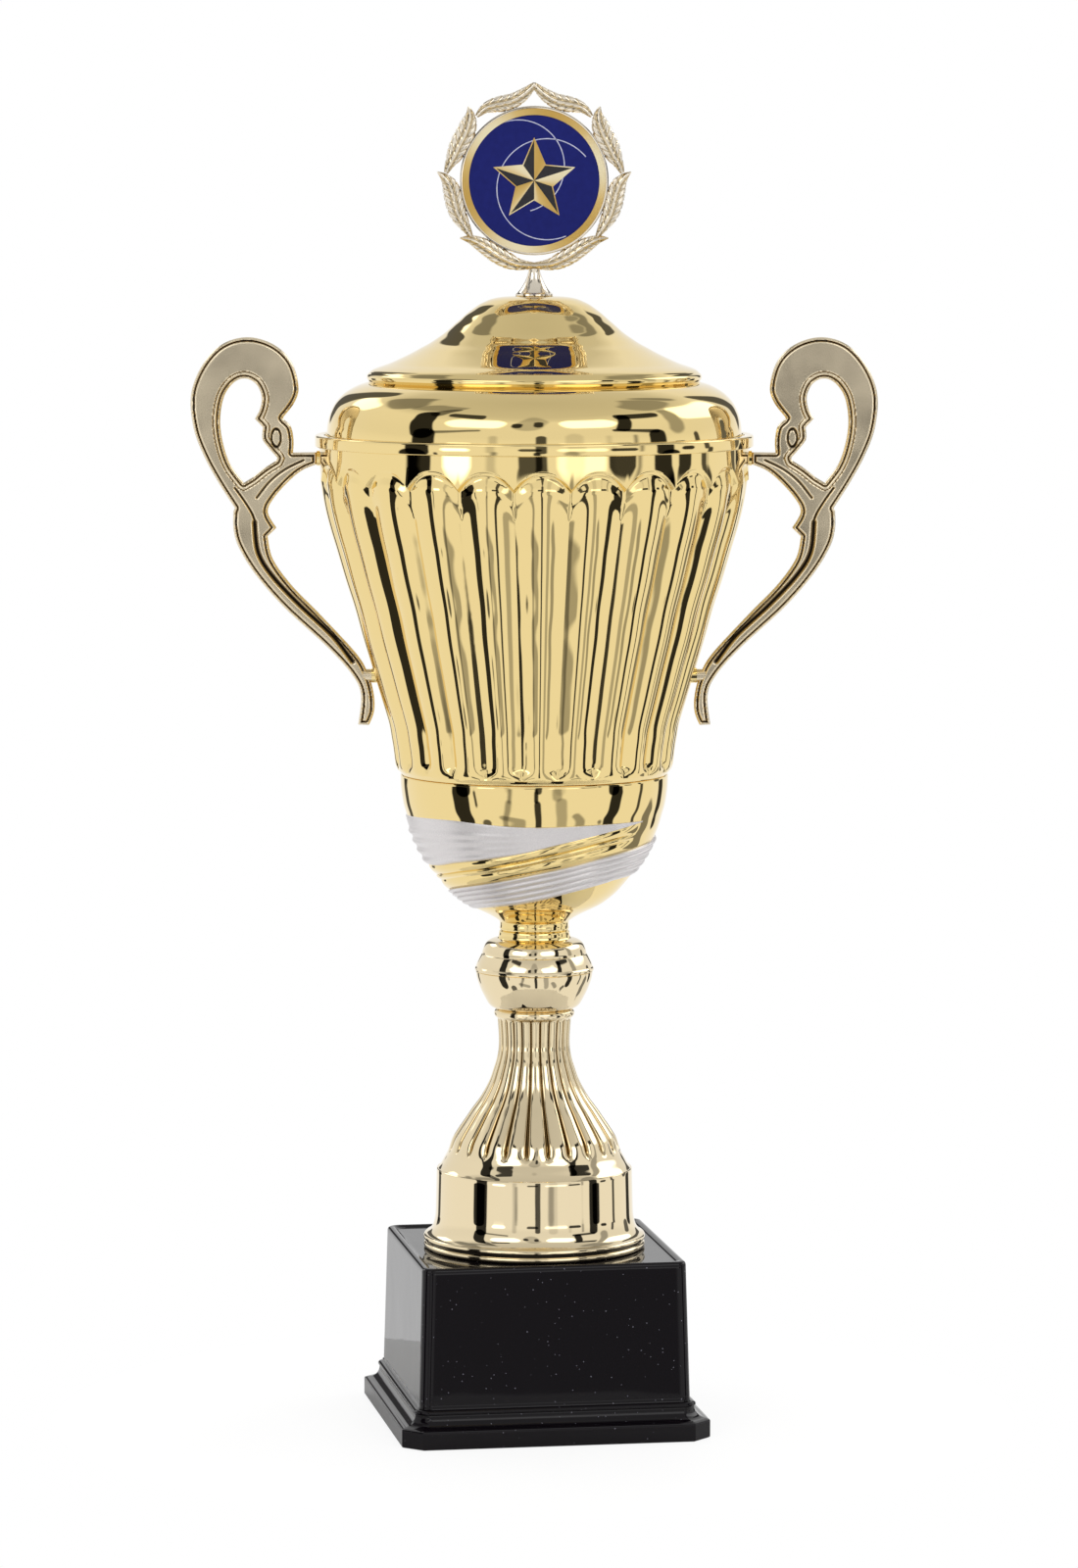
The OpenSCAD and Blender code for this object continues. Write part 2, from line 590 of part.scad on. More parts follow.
// Laurel leaf along a curve through spine points [x, height, half width], with a rib along both faces
module leaf(spine) {
    c = smooth(spine, 2);
    n = len(c);
    edge = 0.6;
    stack([for (i = [0 : n - 1])
        let (t = unit(c[min(i + 1, n - 1)] - c[max(i - 1, 0)]), side = c[i][2] * [t[1], -t[0]],
             rib = edge + 0.5 + 0.2 * c[i][2])
        [[c[i][0] + side[0], edge, c[i][1] + side[1]], [c[i][0], rib, c[i][1]],
         [c[i][0] - side[0], edge, c[i][1] - side[1]], [c[i][0] - side[0], -edge, c[i][1] - side[1]],
         [c[i][0], -rib, c[i][1]], [c[i][0] + side[0], -edge, c[i][1] + side[1]]]]);
}

module wreath_side() {
    translate([0, -0.4, emblem_z]) {
        leaf([[20, 22.2, 0.7], [17.2, 24.8, 1.8], [14.1, 26, 2.6], [10.7, 26.7, 2.9], [7.2, 27.7, 2.7],
              [3.4, 30, 2.2], [-0.3, 33.2, 0.9]]);
        leaf([[30.7, 2.6, 0.8], [29.4, 5.6, 1.8], [27.9, 8.4, 2.8], [26.1, 12.2, 3.5], [24.1, 16, 3.5],
              [22.7, 20, 2.9], [22.3, 23, 1.6], [22.9, 25.6, 0.3]]);
        leaf([[22, -19.2, 0.8], [24.5, -15.2, 2.2], [26.4, -11.7, 3], [27.6, -7.9, 3.3], [28.5, -4.2, 3.2],
              [29.7, -1, 2.6], [31.6, 1.4, 1.4], [33.7, 3, 0.3]]);
        leaf([[-0.8, -29.6, 1.1], [5.3, -29.1, 2.1], [9.1, -27.8, 2.9], [12.9, -25.8, 3.1], [16, -23.7, 3],
              [19.2, -21.8, 2.5], [22.3, -20.4, 1.6], [25.8, -19.9, 0.3]]);
    }
}

module wreath_holder() {
    foot_z = lid_top_z;
    neck_z = foot_z + wreath_foot_h;
    trumpet = concat([[0, foot_z], [6.6, foot_z], [6.5, foot_z + 0.7]],
                     smooth([[6, foot_z + 0.9], [4, foot_z + 3], [2.5, foot_z + 6], [2, neck_z + 0.8]], 4),
                     [[0, neck_z + 0.8]]);
    color(pale_gold) {
        translate([0, 0, emblem_z]) rotate([90, 0, 0]) difference() {
            translate([0, 0, -dish_back_y]) cylinder(h = dish_t, r = dish_r, $fn = fine);
            translate([0, 0, -dish_back_y + 1.2]) cylinder(h = dish_t, r = emblem_d / 2 + 0.05, $fn = fine);
        }
        wreath_side();
        mirror([1, 0, 0]) wreath_side();
        turned(trumpet);
        translate([0, 0, foot_z - 12]) cylinder(h = 13, r = stud_r, $fn = fine);
    }
}

module emblem_disc() {
    back = dish_back_y - 1.2;
    star = [for (i = [0 : 9]) (i % 2 == 0 ? 14 : 6.4) * [sin(36 * i), cos(36 * i)]];
    color(emblem_blue) translate([0, back, emblem_z]) rotate([90, 0, 0]) {
        cylinder(h = emblem_t - 0.3, r = emblem_d / 2, $fn = fine);
        difference() {
            cylinder(h = emblem_t, r = emblem_d / 2, $fn = fine);
            cylinder(h = emblem_t + 1, r = emblem_d / 2 - 2.2, $fn = fine);
        }
        linear_extrude(height = emblem_t) polygon(star);
    }
}

module lid_washer() {
    color(steel) washer(lid_top_z - 3 - 0.8, 0.8, 5, stud_r + 0.15);
}

module lid_nut() {
    color(steel) hex_nut(lid_top_z - 3 - 0.8 - 3.2, 3.2, 7, stud_r);
}

base_shell();
base_ballast();
base_pad();
tie_rod();
base_washer();
base_nut();
drum_foot();
fluted_stem();
knob_cup();
knob_cap();
neck_collar();
lower_bowl();
bowl_washer();
bowl_nut();
fluted_cup();
left_handle();
right_handle();
left_handle_screws();
right_handle_screws();
lid();
wreath_holder();
emblem_disc();
lid_washer();
lid_nut();
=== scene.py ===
import math
from bisect import bisect_left

import bmesh
import bpy
from mathutils import Matrix, Vector
from mathutils.bvhtree import BVHTree
from mathutils.kdtree import KDTree


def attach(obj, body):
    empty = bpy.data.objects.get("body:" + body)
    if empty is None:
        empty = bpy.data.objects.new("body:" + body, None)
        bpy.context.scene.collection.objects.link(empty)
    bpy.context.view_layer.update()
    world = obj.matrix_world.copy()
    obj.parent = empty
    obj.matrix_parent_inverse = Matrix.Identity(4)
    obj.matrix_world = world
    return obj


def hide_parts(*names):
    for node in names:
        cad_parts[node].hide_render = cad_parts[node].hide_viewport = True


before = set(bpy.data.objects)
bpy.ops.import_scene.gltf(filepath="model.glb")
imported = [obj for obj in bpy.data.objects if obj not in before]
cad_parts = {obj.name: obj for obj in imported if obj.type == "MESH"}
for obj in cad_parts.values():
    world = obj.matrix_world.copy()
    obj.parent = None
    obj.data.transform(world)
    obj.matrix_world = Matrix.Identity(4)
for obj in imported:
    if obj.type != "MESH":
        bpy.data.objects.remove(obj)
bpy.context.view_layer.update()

# ---------------------------------------------------------------------------
# Photographer's camera: a long lens about 2.2 m in front of the cup, a little
# above its middle and tipped down by a few degrees.
# ---------------------------------------------------------------------------
MM = 0.001
PHOTO_HEIGHT_PX = 1600
FOCAL_PX = 6397.4
SENSOR_MM = 36.0
CAMERA_PLACE_MM = (1.66, -2191.9, 448.4)
TIPPED_DOWN = 0.10143

lens_cam = bpy.data.cameras.new("camera")
lens_cam.sensor_fit = "VERTICAL"
lens_cam.sensor_height = SENSOR_MM
lens_cam.lens = FOCAL_PX * SENSOR_MM / PHOTO_HEIGHT_PX
lens_cam.clip_start = 0.05
lens_cam.clip_end = 60
camera = bpy.data.objects.new("camera", lens_cam)
camera.location = [c * MM for c in CAMERA_PLACE_MM]
camera.rotation_euler = (math.pi / 2 - TIPPED_DOWN, 0, 0)
bpy.context.collection.objects.link(camera)
bpy.context.scene.camera = camera
bpy.context.scene.view_settings.view_transform = "Standard"


# ---------------------------------------------------------------------------
# White photo tent: white cloth walls and ceiling lit from outside, with narrow
# dark seams between its panels and a slot for the camera. Polished gold shows
# all of it. A white table top lies under the cup.
# ---------------------------------------------------------------------------
def linear(hex_colour):
    """sRGB hex colour as linear RGBA."""
    parts = [int(hex_colour[i : i + 2], 16) / 255 for i in (1, 3, 5)]
    return tuple(c / 12.92 if c <= 0.04045 else ((c + 0.055) / 1.055) ** 2.4 for c in parts) + (1.0,)


def node(tree, kind, inputs=None, **settings):
    """Adds a node with its settings. An input is a value, or a socket to link from."""
    made = tree.nodes.new(kind)
    for key, value in settings.items():
        setattr(made, key, value)
    for key, value in (inputs or {}).items():
        if isinstance(value, bpy.types.NodeSocket):
            tree.links.new(value, made.inputs[key])
        else:
            made.inputs[key].default_value = value
    return made


def math_node(tree, operation, *values):
    return node(tree, "ShaderNodeMath", dict(enumerate(values)), operation=operation).outputs[0]


def vector_node(tree, operation, output, inputs):
    return node(tree, "ShaderNodeVectorMath", inputs, operation=operation).outputs[output]


def noise(tree, place, scale, detail=2):
    """Soft noise from 0 to 1, with scale bumps to the unit of place."""
    inputs = {"Vector": place, "Scale": scale, "Detail": detail}
    return node(tree, "ShaderNodeTexNoise", inputs).outputs["Fac"]


def bump(tree, height, depth_mm, strength=1.0):
    """Normal of a surface whose relief is height times depth_mm."""
    inputs = {"Height": height, "Distance": depth_mm * MM, "Strength": strength}
    return node(tree, "ShaderNodeBump", inputs).outputs[0]


def mix_colour(tree, factor, first, second, blend="MIX"):
    """Blends two colours, each a value or a socket."""
    made = node(
        tree, "ShaderNodeMix", {0: factor, 6: first, 7: second}, data_type="RGBA", blend_type=blend)
    return made.outputs[2]


def ramp(tree, factor, stops):
    """Colour ramp whose stops are (place, grey or hex colour)."""
    made = node(tree, "ShaderNodeValToRGB", {"Fac": factor})
    band = made.color_ramp
    for i, (place, colour) in enumerate(stops):
        stop = band.elements[i] if i < 2 else band.elements.new(place)
        stop.position = place
        stop.color = linear(colour) if isinstance(colour, str) else (colour, colour, colour, 1)
    return made.outputs["Color"]


# What the cup sees besides white cloth: dark seams, frames, stands and the photographer, and lamps,
# which are brighter than 1. Each runs from (azimuth, elevation) to (azimuth, elevation) and has a half
# width, all in degrees, and its brightness. Azimuth is 0 straight at the camera and + to the right.
TENT_MARKS = [
    ((-64, 10), (-64, -7), 7.0, 0.03), ((-67.5, -10), (-68.5, -33), 8.2, 0.03),
    ((-66, 12), (-74, 40), 7.6, 0.03), ((-60, 12), (-32, 17), 1.6, 0.25),
    ((-57, 45), (-36, 45), 3.0, 0.08), ((-69, 46), (-68, 54), 6.0, 0.25), ((4, 8), (4, -7), 3.0, 0.1),
    ((1.8, -9), (1.8, -18), 1.9, 0.04), ((3, -21), (4.5, -42), 3.0, 0.05),
    ((-23, 8), (-23, -6), 2.4, 0.7), ((-21, -8), (-22, -18), 1.7, 0.35),
    ((-23, -20), (-29, -38), 2.6, 0.4), ((22, 8), (22, -6), 5.0, 0.8),
    ((19.5, -9), (20, -14), 4.0, 0.5), ((24, -20), (28, -40), 5.0, 0.5),
    ((-53.3, -9), (-53, -20), 1.2, 0.1), ((58, 8), (58, -5), 1.2, 0.35), ((42, 8), (42, -4), 1.6, 0.8),
    ((72.5, 8), (73, -7), 5.6, 0.03), ((77, -10), (76.5, -31), 5.8, 0.03),
    ((52, 18), (60, 40), 4.6, 0.03), ((47, 16), (73, 12), 2.2, 0.08), ((57, 42), (83, 38), 3.2, 0.05),
    ((88, 13), (95, 38), 5.5, 0.45), ((101.5, 5), (103, -3), 2.0, 0.1),
    ((106, -5), (106, -26), 2.0, 0.08), ((131, 6), (131, -1), 5.0, 0.15),
    ((141, -6), (143, -13), 5.0, 0.04), ((126, -19), (126, -28), 6.0, 0.25),
    ((160, 4), (150, 32), 4.6, 0.12), ((-10.2, 27), (-9.8, 30), 3.2, 0.06),
    ((2.6, 28), (3, 35), 2.8, 0.08), ((-4, 27), (0, 38), 9.0, 0.62), ((-149, -4), (-143, -4), 2.6, 0.1),
    ((-149, -13), (-148, -8), 4.5, 0.1), ((-163, 6), (-155, 34), 5.5, 0.12),
    ((-50, -42), (-48, -41), 6.0, 0.15), ((66, -40), (68, -37), 3.6, 0.2),
    ((-134, 50), (-112, 48), 9.0, 0.4), ((-98, 54), (-74, 58), 8.0, 0.5),
    ((92, 54), (124, 55), 9.0, 0.5), ((139, 49), (140, 52), 6.0, 0.4),
    ((43, -2.4), (53, -2.4), 2.6, 0.06), ((86, -2.4), (90, -2.4), 2.6, 0.04),
    ((-6, -2.4), (2, -2.4), 2.6, 0.1), ((15, -2.4), (36, -2.4), 2.6, 2.0),
    ((-47, -2.4), (-37, -2.4), 2.6, 3.2), ((-46, 32), (-26, 32), 9.0, 2.6),
    ((24, 32), (42, 32), 9.0, 2.6), ((108, 34), (134, 26), 10.0, 2.6),
    ((-144, 29), (-130, 31), 7.0, 2.4), ((-43, -49), (-30, -55), 4.0, 0.12),
    ((57, -48), (38, -54), 3.0, 0.12), ((-30, -33), (-12, -39), 3.5, 0.45),
    ((40, -30), (48, -38), 4.0, 0.4)]

world = bpy.data.worlds.new("photo_tent")
bpy.context.scene.world = world
world.use_nodes = True
tent = world.node_tree
tent.nodes.clear()
direction = node(tent, "ShaderNodeTexCoord").outputs["Generated"]
split = node(tent, "ShaderNodeSeparateXYZ", {0: direction})
toward_camera = math_node(tent, "MULTIPLY", split.outputs["Y"], -1.0)
azimuth = math_node(tent, "DEGREES", math_node(tent, "ARCTAN2", split.outputs["X"], toward_camera))
elevation = math_node(tent, "DEGREES", math_node(tent, "ARCSINE", split.outputs["Z"]))
looking_at = node(tent, "ShaderNodeCombineXYZ", {0: azimuth, 1: elevation}).outputs[0]

# White cloth is brightest beside the cup and dimmer overhead
CLOTH_BRIGHTNESS = [(0.0, 1.0), (0.08, 0.92), (0.16, 0.92), (0.4, 0.95), (0.52, 0.7), (1.0, 0.62)]
brightness = ramp(tent, math_node(tent, "DIVIDE", elevation, 90.0), CLOTH_BRIGHTNESS)
# Dark things have crisp edges and the rest soft ones, in degrees
CRISP, SOFT = 0.8, 1.6
DARK = 0.3
for start, end, half_width, level in TENT_MARKS:
    along = Vector((*end, 0)) - Vector((*start, 0))
    offset = vector_node(tent, "SUBTRACT", "Vector", {0: looking_at, 1: (*start, 0)})
    share = vector_node(tent, "DOT_PRODUCT", "Value", {0: offset, 1: along / along.length_squared})
    share = node(tent, "ShaderNodeClamp", {0: share}).outputs[0]
    foot_point = vector_node(tent, "SCALE", "Vector", {0: along, "Scale": share})
    gap = vector_node(tent, "SUBTRACT", "Vector", {0: offset, 1: foot_point})
    distance = vector_node(tent, "LENGTH", "Value", {0: gap})
    edge = CRISP if level < DARK else SOFT
    fall = {
        "Value": distance, "From Min": half_width - edge, "From Max": half_width + edge,
        "To Min": level, "To Max": 1.0}
    light = node(tent, "ShaderNodeMapRange", fall, interpolation_type="SMOOTHSTEP")
    brightness = mix_colour(tent, 1.0, brightness, light.outputs[0], "MULTIPLY")
tent_shader = node(tent, "ShaderNodeBackground", {"Color": brightness, "Strength": 1.0})
white_shader = node(tent, "ShaderNodeBackground", {"Color": (1, 1, 1, 1), "Strength": 1.0})
light_path = node(tent, "ShaderNodeLightPath")
seen = node(
    tent, "ShaderNodeMixShader",
    {"Fac": light_path.outputs["Is Camera Ray"], 1: tent_shader.outputs[0], 2: white_shader.outputs[0]})
node(tent, "ShaderNodeOutputWorld", {"Surface": seen.outputs[0]})


def new_material(name):
    """Material with its node tree and a Principled shader on its output."""
    made = bpy.data.materials.new(name)
    made.use_nodes = True
    tree = made.node_tree
    tree.nodes.clear()
    shader = node(tree, "ShaderNodeBsdfPrincipled")
    node(tree, "ShaderNodeOutputMaterial", {"Surface": shader.outputs[0]})
    return made, tree, shader


def object_place(tree, scale=(1, 1, 1)):
    """Object coordinates in millimetres, times scale."""
    coords = node(tree, "ShaderNodeTexCoord").outputs["Object"]
    return node(
        tree, "ShaderNodeMapping", {"Vector": coords, "Scale": [1000 * s for s in scale]}).outputs[0]


def set_sockets(shader, **values):
    """Sets inputs of a shader, each to a value or linked from a socket."""
    for key, value in values.items():
        socket = shader.inputs[key.replace("_", " ")]
        if isinstance(value, bpy.types.NodeSocket):
            shader.id_data.links.new(value, socket)
        else:
            socket.default_value = value


# Matt white laminate: lit by the tent it is as white as the walls, and keeps the cup's soft shadow.
TABLE_RADIUS = 170 * MM
TABLE_GLOW = 1.075
GLOW_SHARE = 0.8
white_laminate, tree, shader = new_material("white_laminate")
grain = bump(tree, noise(tree, object_place(tree), 0.4), 0.02, 0.2)
set_sockets(shader, Base_Color=linear("#fcfcfc"), Roughness=0.6, Normal=grain)
glow = node(tree, "ShaderNodeEmission", {"Color": (1, 1, 1, 1), "Strength": TABLE_GLOW})
rays = node(tree, "ShaderNodeLightPath")
glow_share = math_node(tree, "MULTIPLY", rays.outputs["Is Camera Ray"], GLOW_SHARE)
table_seen = node(
    tree, "ShaderNodeMixShader", {"Fac": glow_share, 1: shader.outputs[0], 2: glow.outputs[0]})
surface = next(n for n in tree.nodes if n.type == "OUTPUT_MATERIAL").inputs["Surface"]
tree.links.new(table_seen.outputs[0], surface)

bm = bmesh.new()
bmesh.ops.create_circle(bm, cap_ends=True, segments=96, radius=TABLE_RADIUS)
table_mesh = bpy.data.meshes.new("table_top")
bm.to_mesh(table_mesh)
bm.free()
table_top = bpy.data.objects.new("table_top", table_mesh)
bpy.context.collection.objects.link(table_top)
table_mesh.materials.append(white_laminate)

# ---------------------------------------------------------------------------
# Base: a hollow square moulding in black polystyrene, polished, with a flange,
# a cove and a light bead under its slightly tapered block. A cast weight sits
# inside it on a foam sheet, and a washer and nut clamp the rod from below.
# ---------------------------------------------------------------------------
BASE_TURN = math.radians(9.4)
BASE_WALL = 2.4
COVE_STEPS = 12
CORNER_STEPS = 8
# Short steps of flat wall beside each corner keep the long walls' shading flat
SUPPORT = 1.0


def square_ring(z, half, cut, bulge):
    """Ring of places at height z: cut is the corner's leg, and bulge rounds the corner from 0 to 1."""
    quarter = [Vector((half, half - cut - SUPPORT, z))]
    for j in range(CORNER_STEPS + 1):
        t = j / CORNER_STEPS
        flat = Vector((half - cut * t, half - cut * (1 - t), z))
        bend = math.radians(90 * t)
        around = Vector((half - cut + cut * math.cos(bend), half - cut + cut * math.sin(bend), z))
        quarter.append(flat.lerp(around, bulge))
    quarter.append(Vector((half - cut - SUPPORT, half, z)))
    return [Matrix.Rotation(BASE_TURN + k * math.pi / 2, 3, "Z") @ p for k in range(4) for p in quarter]


def turn_faces(bm, faces, outward):
    """Makes the faces of an open sheet agree, and most of it face the way that outward(face) gives."""
    bmesh.ops.recalc_face_normals(bm, faces=faces)
    if sum(f.normal.dot(outward(f)) for f in faces) < 0:
        bmesh.ops.reverse_faces(bm, faces=faces)


def finish_piece(bm, name, material, cad_nodes, body, crease=35.0):
    """Makes the millimetre mesh a piece in metres that stands for CAD nodes and moves with a body."""
    bmesh.ops.scale(bm, vec=(MM, MM, MM), verts=bm.verts)
    mesh = bpy.data.meshes.new(name)
    bm.to_mesh(mesh)
    bm.free()
    mesh.shade_smooth()
    mesh.set_sharp_from_angle(angle=math.radians(crease))
    made = bpy.data.objects.new(name, mesh)
    bpy.context.collection.objects.link(made)
    mesh.materials.append(material)
    if cad_nodes:
        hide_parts(*cad_nodes)
    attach(made, body)
    return made


def dress(cad_node, material):
    """Gives a CAD node that stays its finish."""
    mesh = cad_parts[cad_node].data
    mesh.materials.clear()
    mesh.materials.append(material)


# Each level is a ring's height, half width, corner leg and bulge
bm = bmesh.new()
levels = [
    (0, 53.9, 6.4, 0), (0.4, 54.3, 6.4, 0), (0.9, 54.3, 6.4, 0), (5.5, 54.3, 6.4, 0),
    (6.0, 54.3, 6.4, 0), (6.4, 54.15, 6.3, 0), (6.6, 53.7, 6.2, 0)]
for step in range(COVE_STEPS + 1):
    t = step / COVE_STEPS
    bend = math.radians(90 * t)
    levels.append(
        (6.8 + 4.3 * (1 - math.cos(bend)), 53.4 - 4.3 * math.sin(bend), 6.4 - 2.4 * t, 0.4 * t))
levels += [
    (11.25, 49.3, 4, 0.45), (11.4, 49.5, 4, 0.5), (11.8, 49.6, 4, 0.55), (12.3, 49.5, 4, 0.6),
    (12.7, 49.1, 3.9, 0.7), (12.85, 48.6, 3.8, 0.8), (12.95, 47.9, 3.6, 1), (13.4, 47.7, 3.6, 1),
    (14.4, 47.67, 3.6, 1), (59.8, 46.44, 3.6, 1), (60.7, 46.42, 3.6, 1), (61.2, 46.3, 3.6, 1),
    (61.6, 46.05, 3.5, 1), (61.9, 45.6, 3.4, 1), (62.0, 45.1, 3.3, 1), (61.95, 44.4, 3.1, 1),
    (61.6, 43.7, 2.8, 1), (61.25, 43.2, 2.6, 1), (61.2, 42.6, 2.5, 1), (61.2, 41.6, 2.5, 1),
    (61.2, 5, 2.5, 1)]
rings = [square_ring(*level) for level in levels]
turns, heights = len(rings[0]), len(rings) - 1
bmesh.ops.create_grid(bm, x_segments=turns, y_segments=heights, size=0.5)
for vert in bm.verts:
    vert.co = rings[round((vert.co.y + 0.5) * heights)][round((vert.co.x + 0.5) * turns) % turns]
bmesh.ops.remove_doubles(bm, verts=bm.verts, dist=0.0001)
BASE_MIDDLE = Vector((0, 0, 30))
turn_faces(bm, bm.faces[:], lambda f: (f.calc_center_median() - BASE_MIDDLE) * f.calc_area())
bmesh.ops.solidify(bm, geom=bm.faces[:], thickness=BASE_WALL)

# Polished black polystyrene: a wet-looking gloss with a few fine pale specks of dust under the polish.
black_polystyrene, tree, shader = new_material("black_polystyrene")
place = object_place(tree)
specks = node(
    tree, "ShaderNodeTexVoronoi", {"Vector": place, "Scale": 0.55, "Randomness": 1.0}, feature="F1")
pick = node(tree, "ShaderNodeTexWhiteNoise", {"Vector": specks.outputs["Position"]})
size = math_node(tree, "MULTIPLY_ADD", pick.outputs["Value"], 0.16, -0.03)
speck = math_node(tree, "LESS_THAN", specks.outputs["Distance"], size)
colour = mix_colour(tree, math_node(tree, "MULTIPLY", speck, 0.4), linear("#0c080d"), linear("#a3a1b0"))
swell = bump(tree, noise(tree, place, 0.03), 0.14)
set_sockets(shader, Base_Color=colour, Roughness=0.045, Specular_IOR_Level=0.22, Normal=swell)
finish_piece(bm, "base_moulding", black_polystyrene, ["base_shell"], "cup", crease=30)

# Cast stone weight: a rough grey casting with visible aggregate of 1 to 2 mm.
cast_stone, tree, shader = new_material("cast_stone")
grit = noise(tree, object_place(tree), 0.7, 6)
grit_colour = ramp(tree, grit, [(0.3, "#6f6a63"), (0.7, "#b9b4aa")])
set_sockets(shader, Base_Color=grit_colour, Roughness=0.9, Normal=bump(tree, grit, 0.3, 0.8))
dress("base_ballast", cast_stone)

# Closed-cell foam: matt black with cells about half a millimetre across.
cell_foam, tree, shader = new_material("cell_foam")
cells = node(tree, "ShaderNodeTexVoronoi", {"Vector": object_place(tree), "Scale": 1.6})
pores = bump(tree, cells.outputs["Distance"], 0.2, 0.7)
cell_colour = ramp(tree, cells.outputs["Distance"], [(0.0, "#050505"), (1.0, "#26262a")])
set_sockets(shader, Base_Color=cell_colour, Roughness=0.85, Normal=pores)
dress("base_pad", cell_foam)

# Zinc-plated steel: cold grey with faint drawing marks along the metal and slightly uneven gloss.
zinc_steel, tree, shader = new_material("zinc_steel")
gloss = ramp(tree, noise(tree, object_place(tree, (1, 1, 0.15)), 1.5, 4), [(0.3, 0.22), (0.7, 0.38)])
set_sockets(shader, Base_Color=linear("#c3c4c8"), Metallic=1.0, Roughness=gloss)
for hardware in ("tie_rod", "base_washer", "base_nut", "bowl_washer", "bowl_nut", "left_handle_screws",
                 "right_handle_screws", "lid_washer", "lid_nut"):
    dress(hardware, zinc_steel)

# ---------------------------------------------------------------------------
# Drum foot: a turned-looking drum moulded in ABS and vacuum-metallised in pale
# champagne gold, with two beads where it stands on the block.
# ---------------------------------------------------------------------------
def points(*pairs):
    return [Vector(p) for p in pairs]


def curve_through(places, steps):
    """Smooth curve through places in the plane or in space, with steps between neighbours."""
    keys = points(*places)
    out = []
    for i in range(len(keys) - 1):
        a, b, c, d = keys[max(i - 1, 0)], keys[i], keys[i + 1], keys[min(i + 2, len(keys) - 1)]
        for k in range(steps):
            t = k / steps
            bent = 2 * b + (c - a) * t + (2 * a - 5 * b + 4 * c - d) * t**2
            out.append(0.5 * (bent + (3 * b - a - 3 * c + d) * t**3))
    out.append(keys[-1])
    return out


def arc(centre, radius, start, end, steps):
    """Arc of a circle from start to end degrees."""
    angles = [math.radians(start + (end - start) * k / steps) for k in range(steps + 1)]
    x, z = centre
    return [Vector((x + radius * math.cos(a), z + radius * math.sin(a))) for a in angles]


def spun(profile, steps):
    """Turns a closed profile of (radius, height) about the vertical axis, like a lathe."""
    bm = bmesh.new()
    row = [bm.verts.new((0, -p[0], p[1])) for p in profile]
    edges = [bm.edges.new(pair) for pair in zip(row, row[1:] + row[:1])]
    bmesh.ops.spin(
        bm, geom=row + edges, cent=(0, 0, 0), axis=(0, 0, 1), dvec=(0, 0, 0), angle=2 * math.pi,
        steps=steps, use_merge=True, use_duplicate=False)
    bmesh.ops.remove_doubles(bm, verts=bm.verts, dist=0.0005)
    bmesh.ops.recalc_face_normals(bm, faces=bm.faces)
    return bm


def metallised(name, colour, roughness, wave_mm=14, wave_depth=0.05):
    """Vacuum-metallised ABS under clear lacquer: a mirror with the mould's faint waves and a haze."""
    made, tree, shader = new_material(name)
    place = object_place(tree)
    haze = ramp(tree, noise(tree, place, 0.05, 3), [(0.3, roughness * 0.8), (0.7, roughness * 1.3)])
    waves = bump(tree, noise(tree, place, 1 / wave_mm, 1), wave_depth)
    set_sockets(shader, Base_Color=linear(colour), Metallic=1.0, Roughness=haze, Normal=waves)
    return made


CHAMPAGNE = "#ead9b4"
champagne_abs = metallised("champagne_abs", CHAMPAGNE, 0.025)

PANEL_Z = 61.2
DRUM_TOP_Z = 89.4
ROD_HOLE = 4
TURNING_STEPS = 240

drum = arc((38.05, PANEL_Z + 1.1), 1.1, -88, 62, 8)
drum += arc((38.05, PANEL_Z + 3.75), 1.15, -50, 74, 8)
drum += curve_through([
    (38.0, 66.2), (37.0, 67.0), (36.0, 68.6), (35.35, 70.6), (34.98, 72.8), (34.87, 75.0)], 5)
drum += points((34.83, 76.4), (34.55, 87.6), (34.52, 88.8), (34.42, 89.2), (34.2, DRUM_TOP_Z))
drum += points(
    (ROD_HOLE, DRUM_TOP_Z), (ROD_HOLE, 86.9), (32.3, 86.9), (32.6, 71), (35, 66), (35, PANEL_Z))
bm = spun(drum, TURNING_STEPS)
finish_piece(bm, "drum_foot_gold", champagne_abs, ["drum_foot"], "cup", crease=28)

# ---------------------------------------------------------------------------
# Fluted stem: one ABS moulding with 24 lobes that run out into the flare over
# the drum, metallised in the same champagne gold. A bead finishes its top.
# ---------------------------------------------------------------------------
LOBES = 24
CREASE_ANGLE = math.radians(9.7)
STEM_TOP_Z = 146


def across_lobe(co):
    """Place across a lobe, from -1 to 1, of a point round the axis."""
    turn = (math.atan2(co.x, -co.y) - CREASE_ANGLE) / (2 * math.pi) * LOBES
    return (turn % 1) * 2 - 1


def set_radius(vert, radius):
    now = math.hypot(vert.co.x, vert.co.y)
    vert.co.x *= radius / now
    vert.co.y *= radius / now


def ease(t):
    t = min(max(t, 0), 1)
    return t * t * (3 - 2 * t)


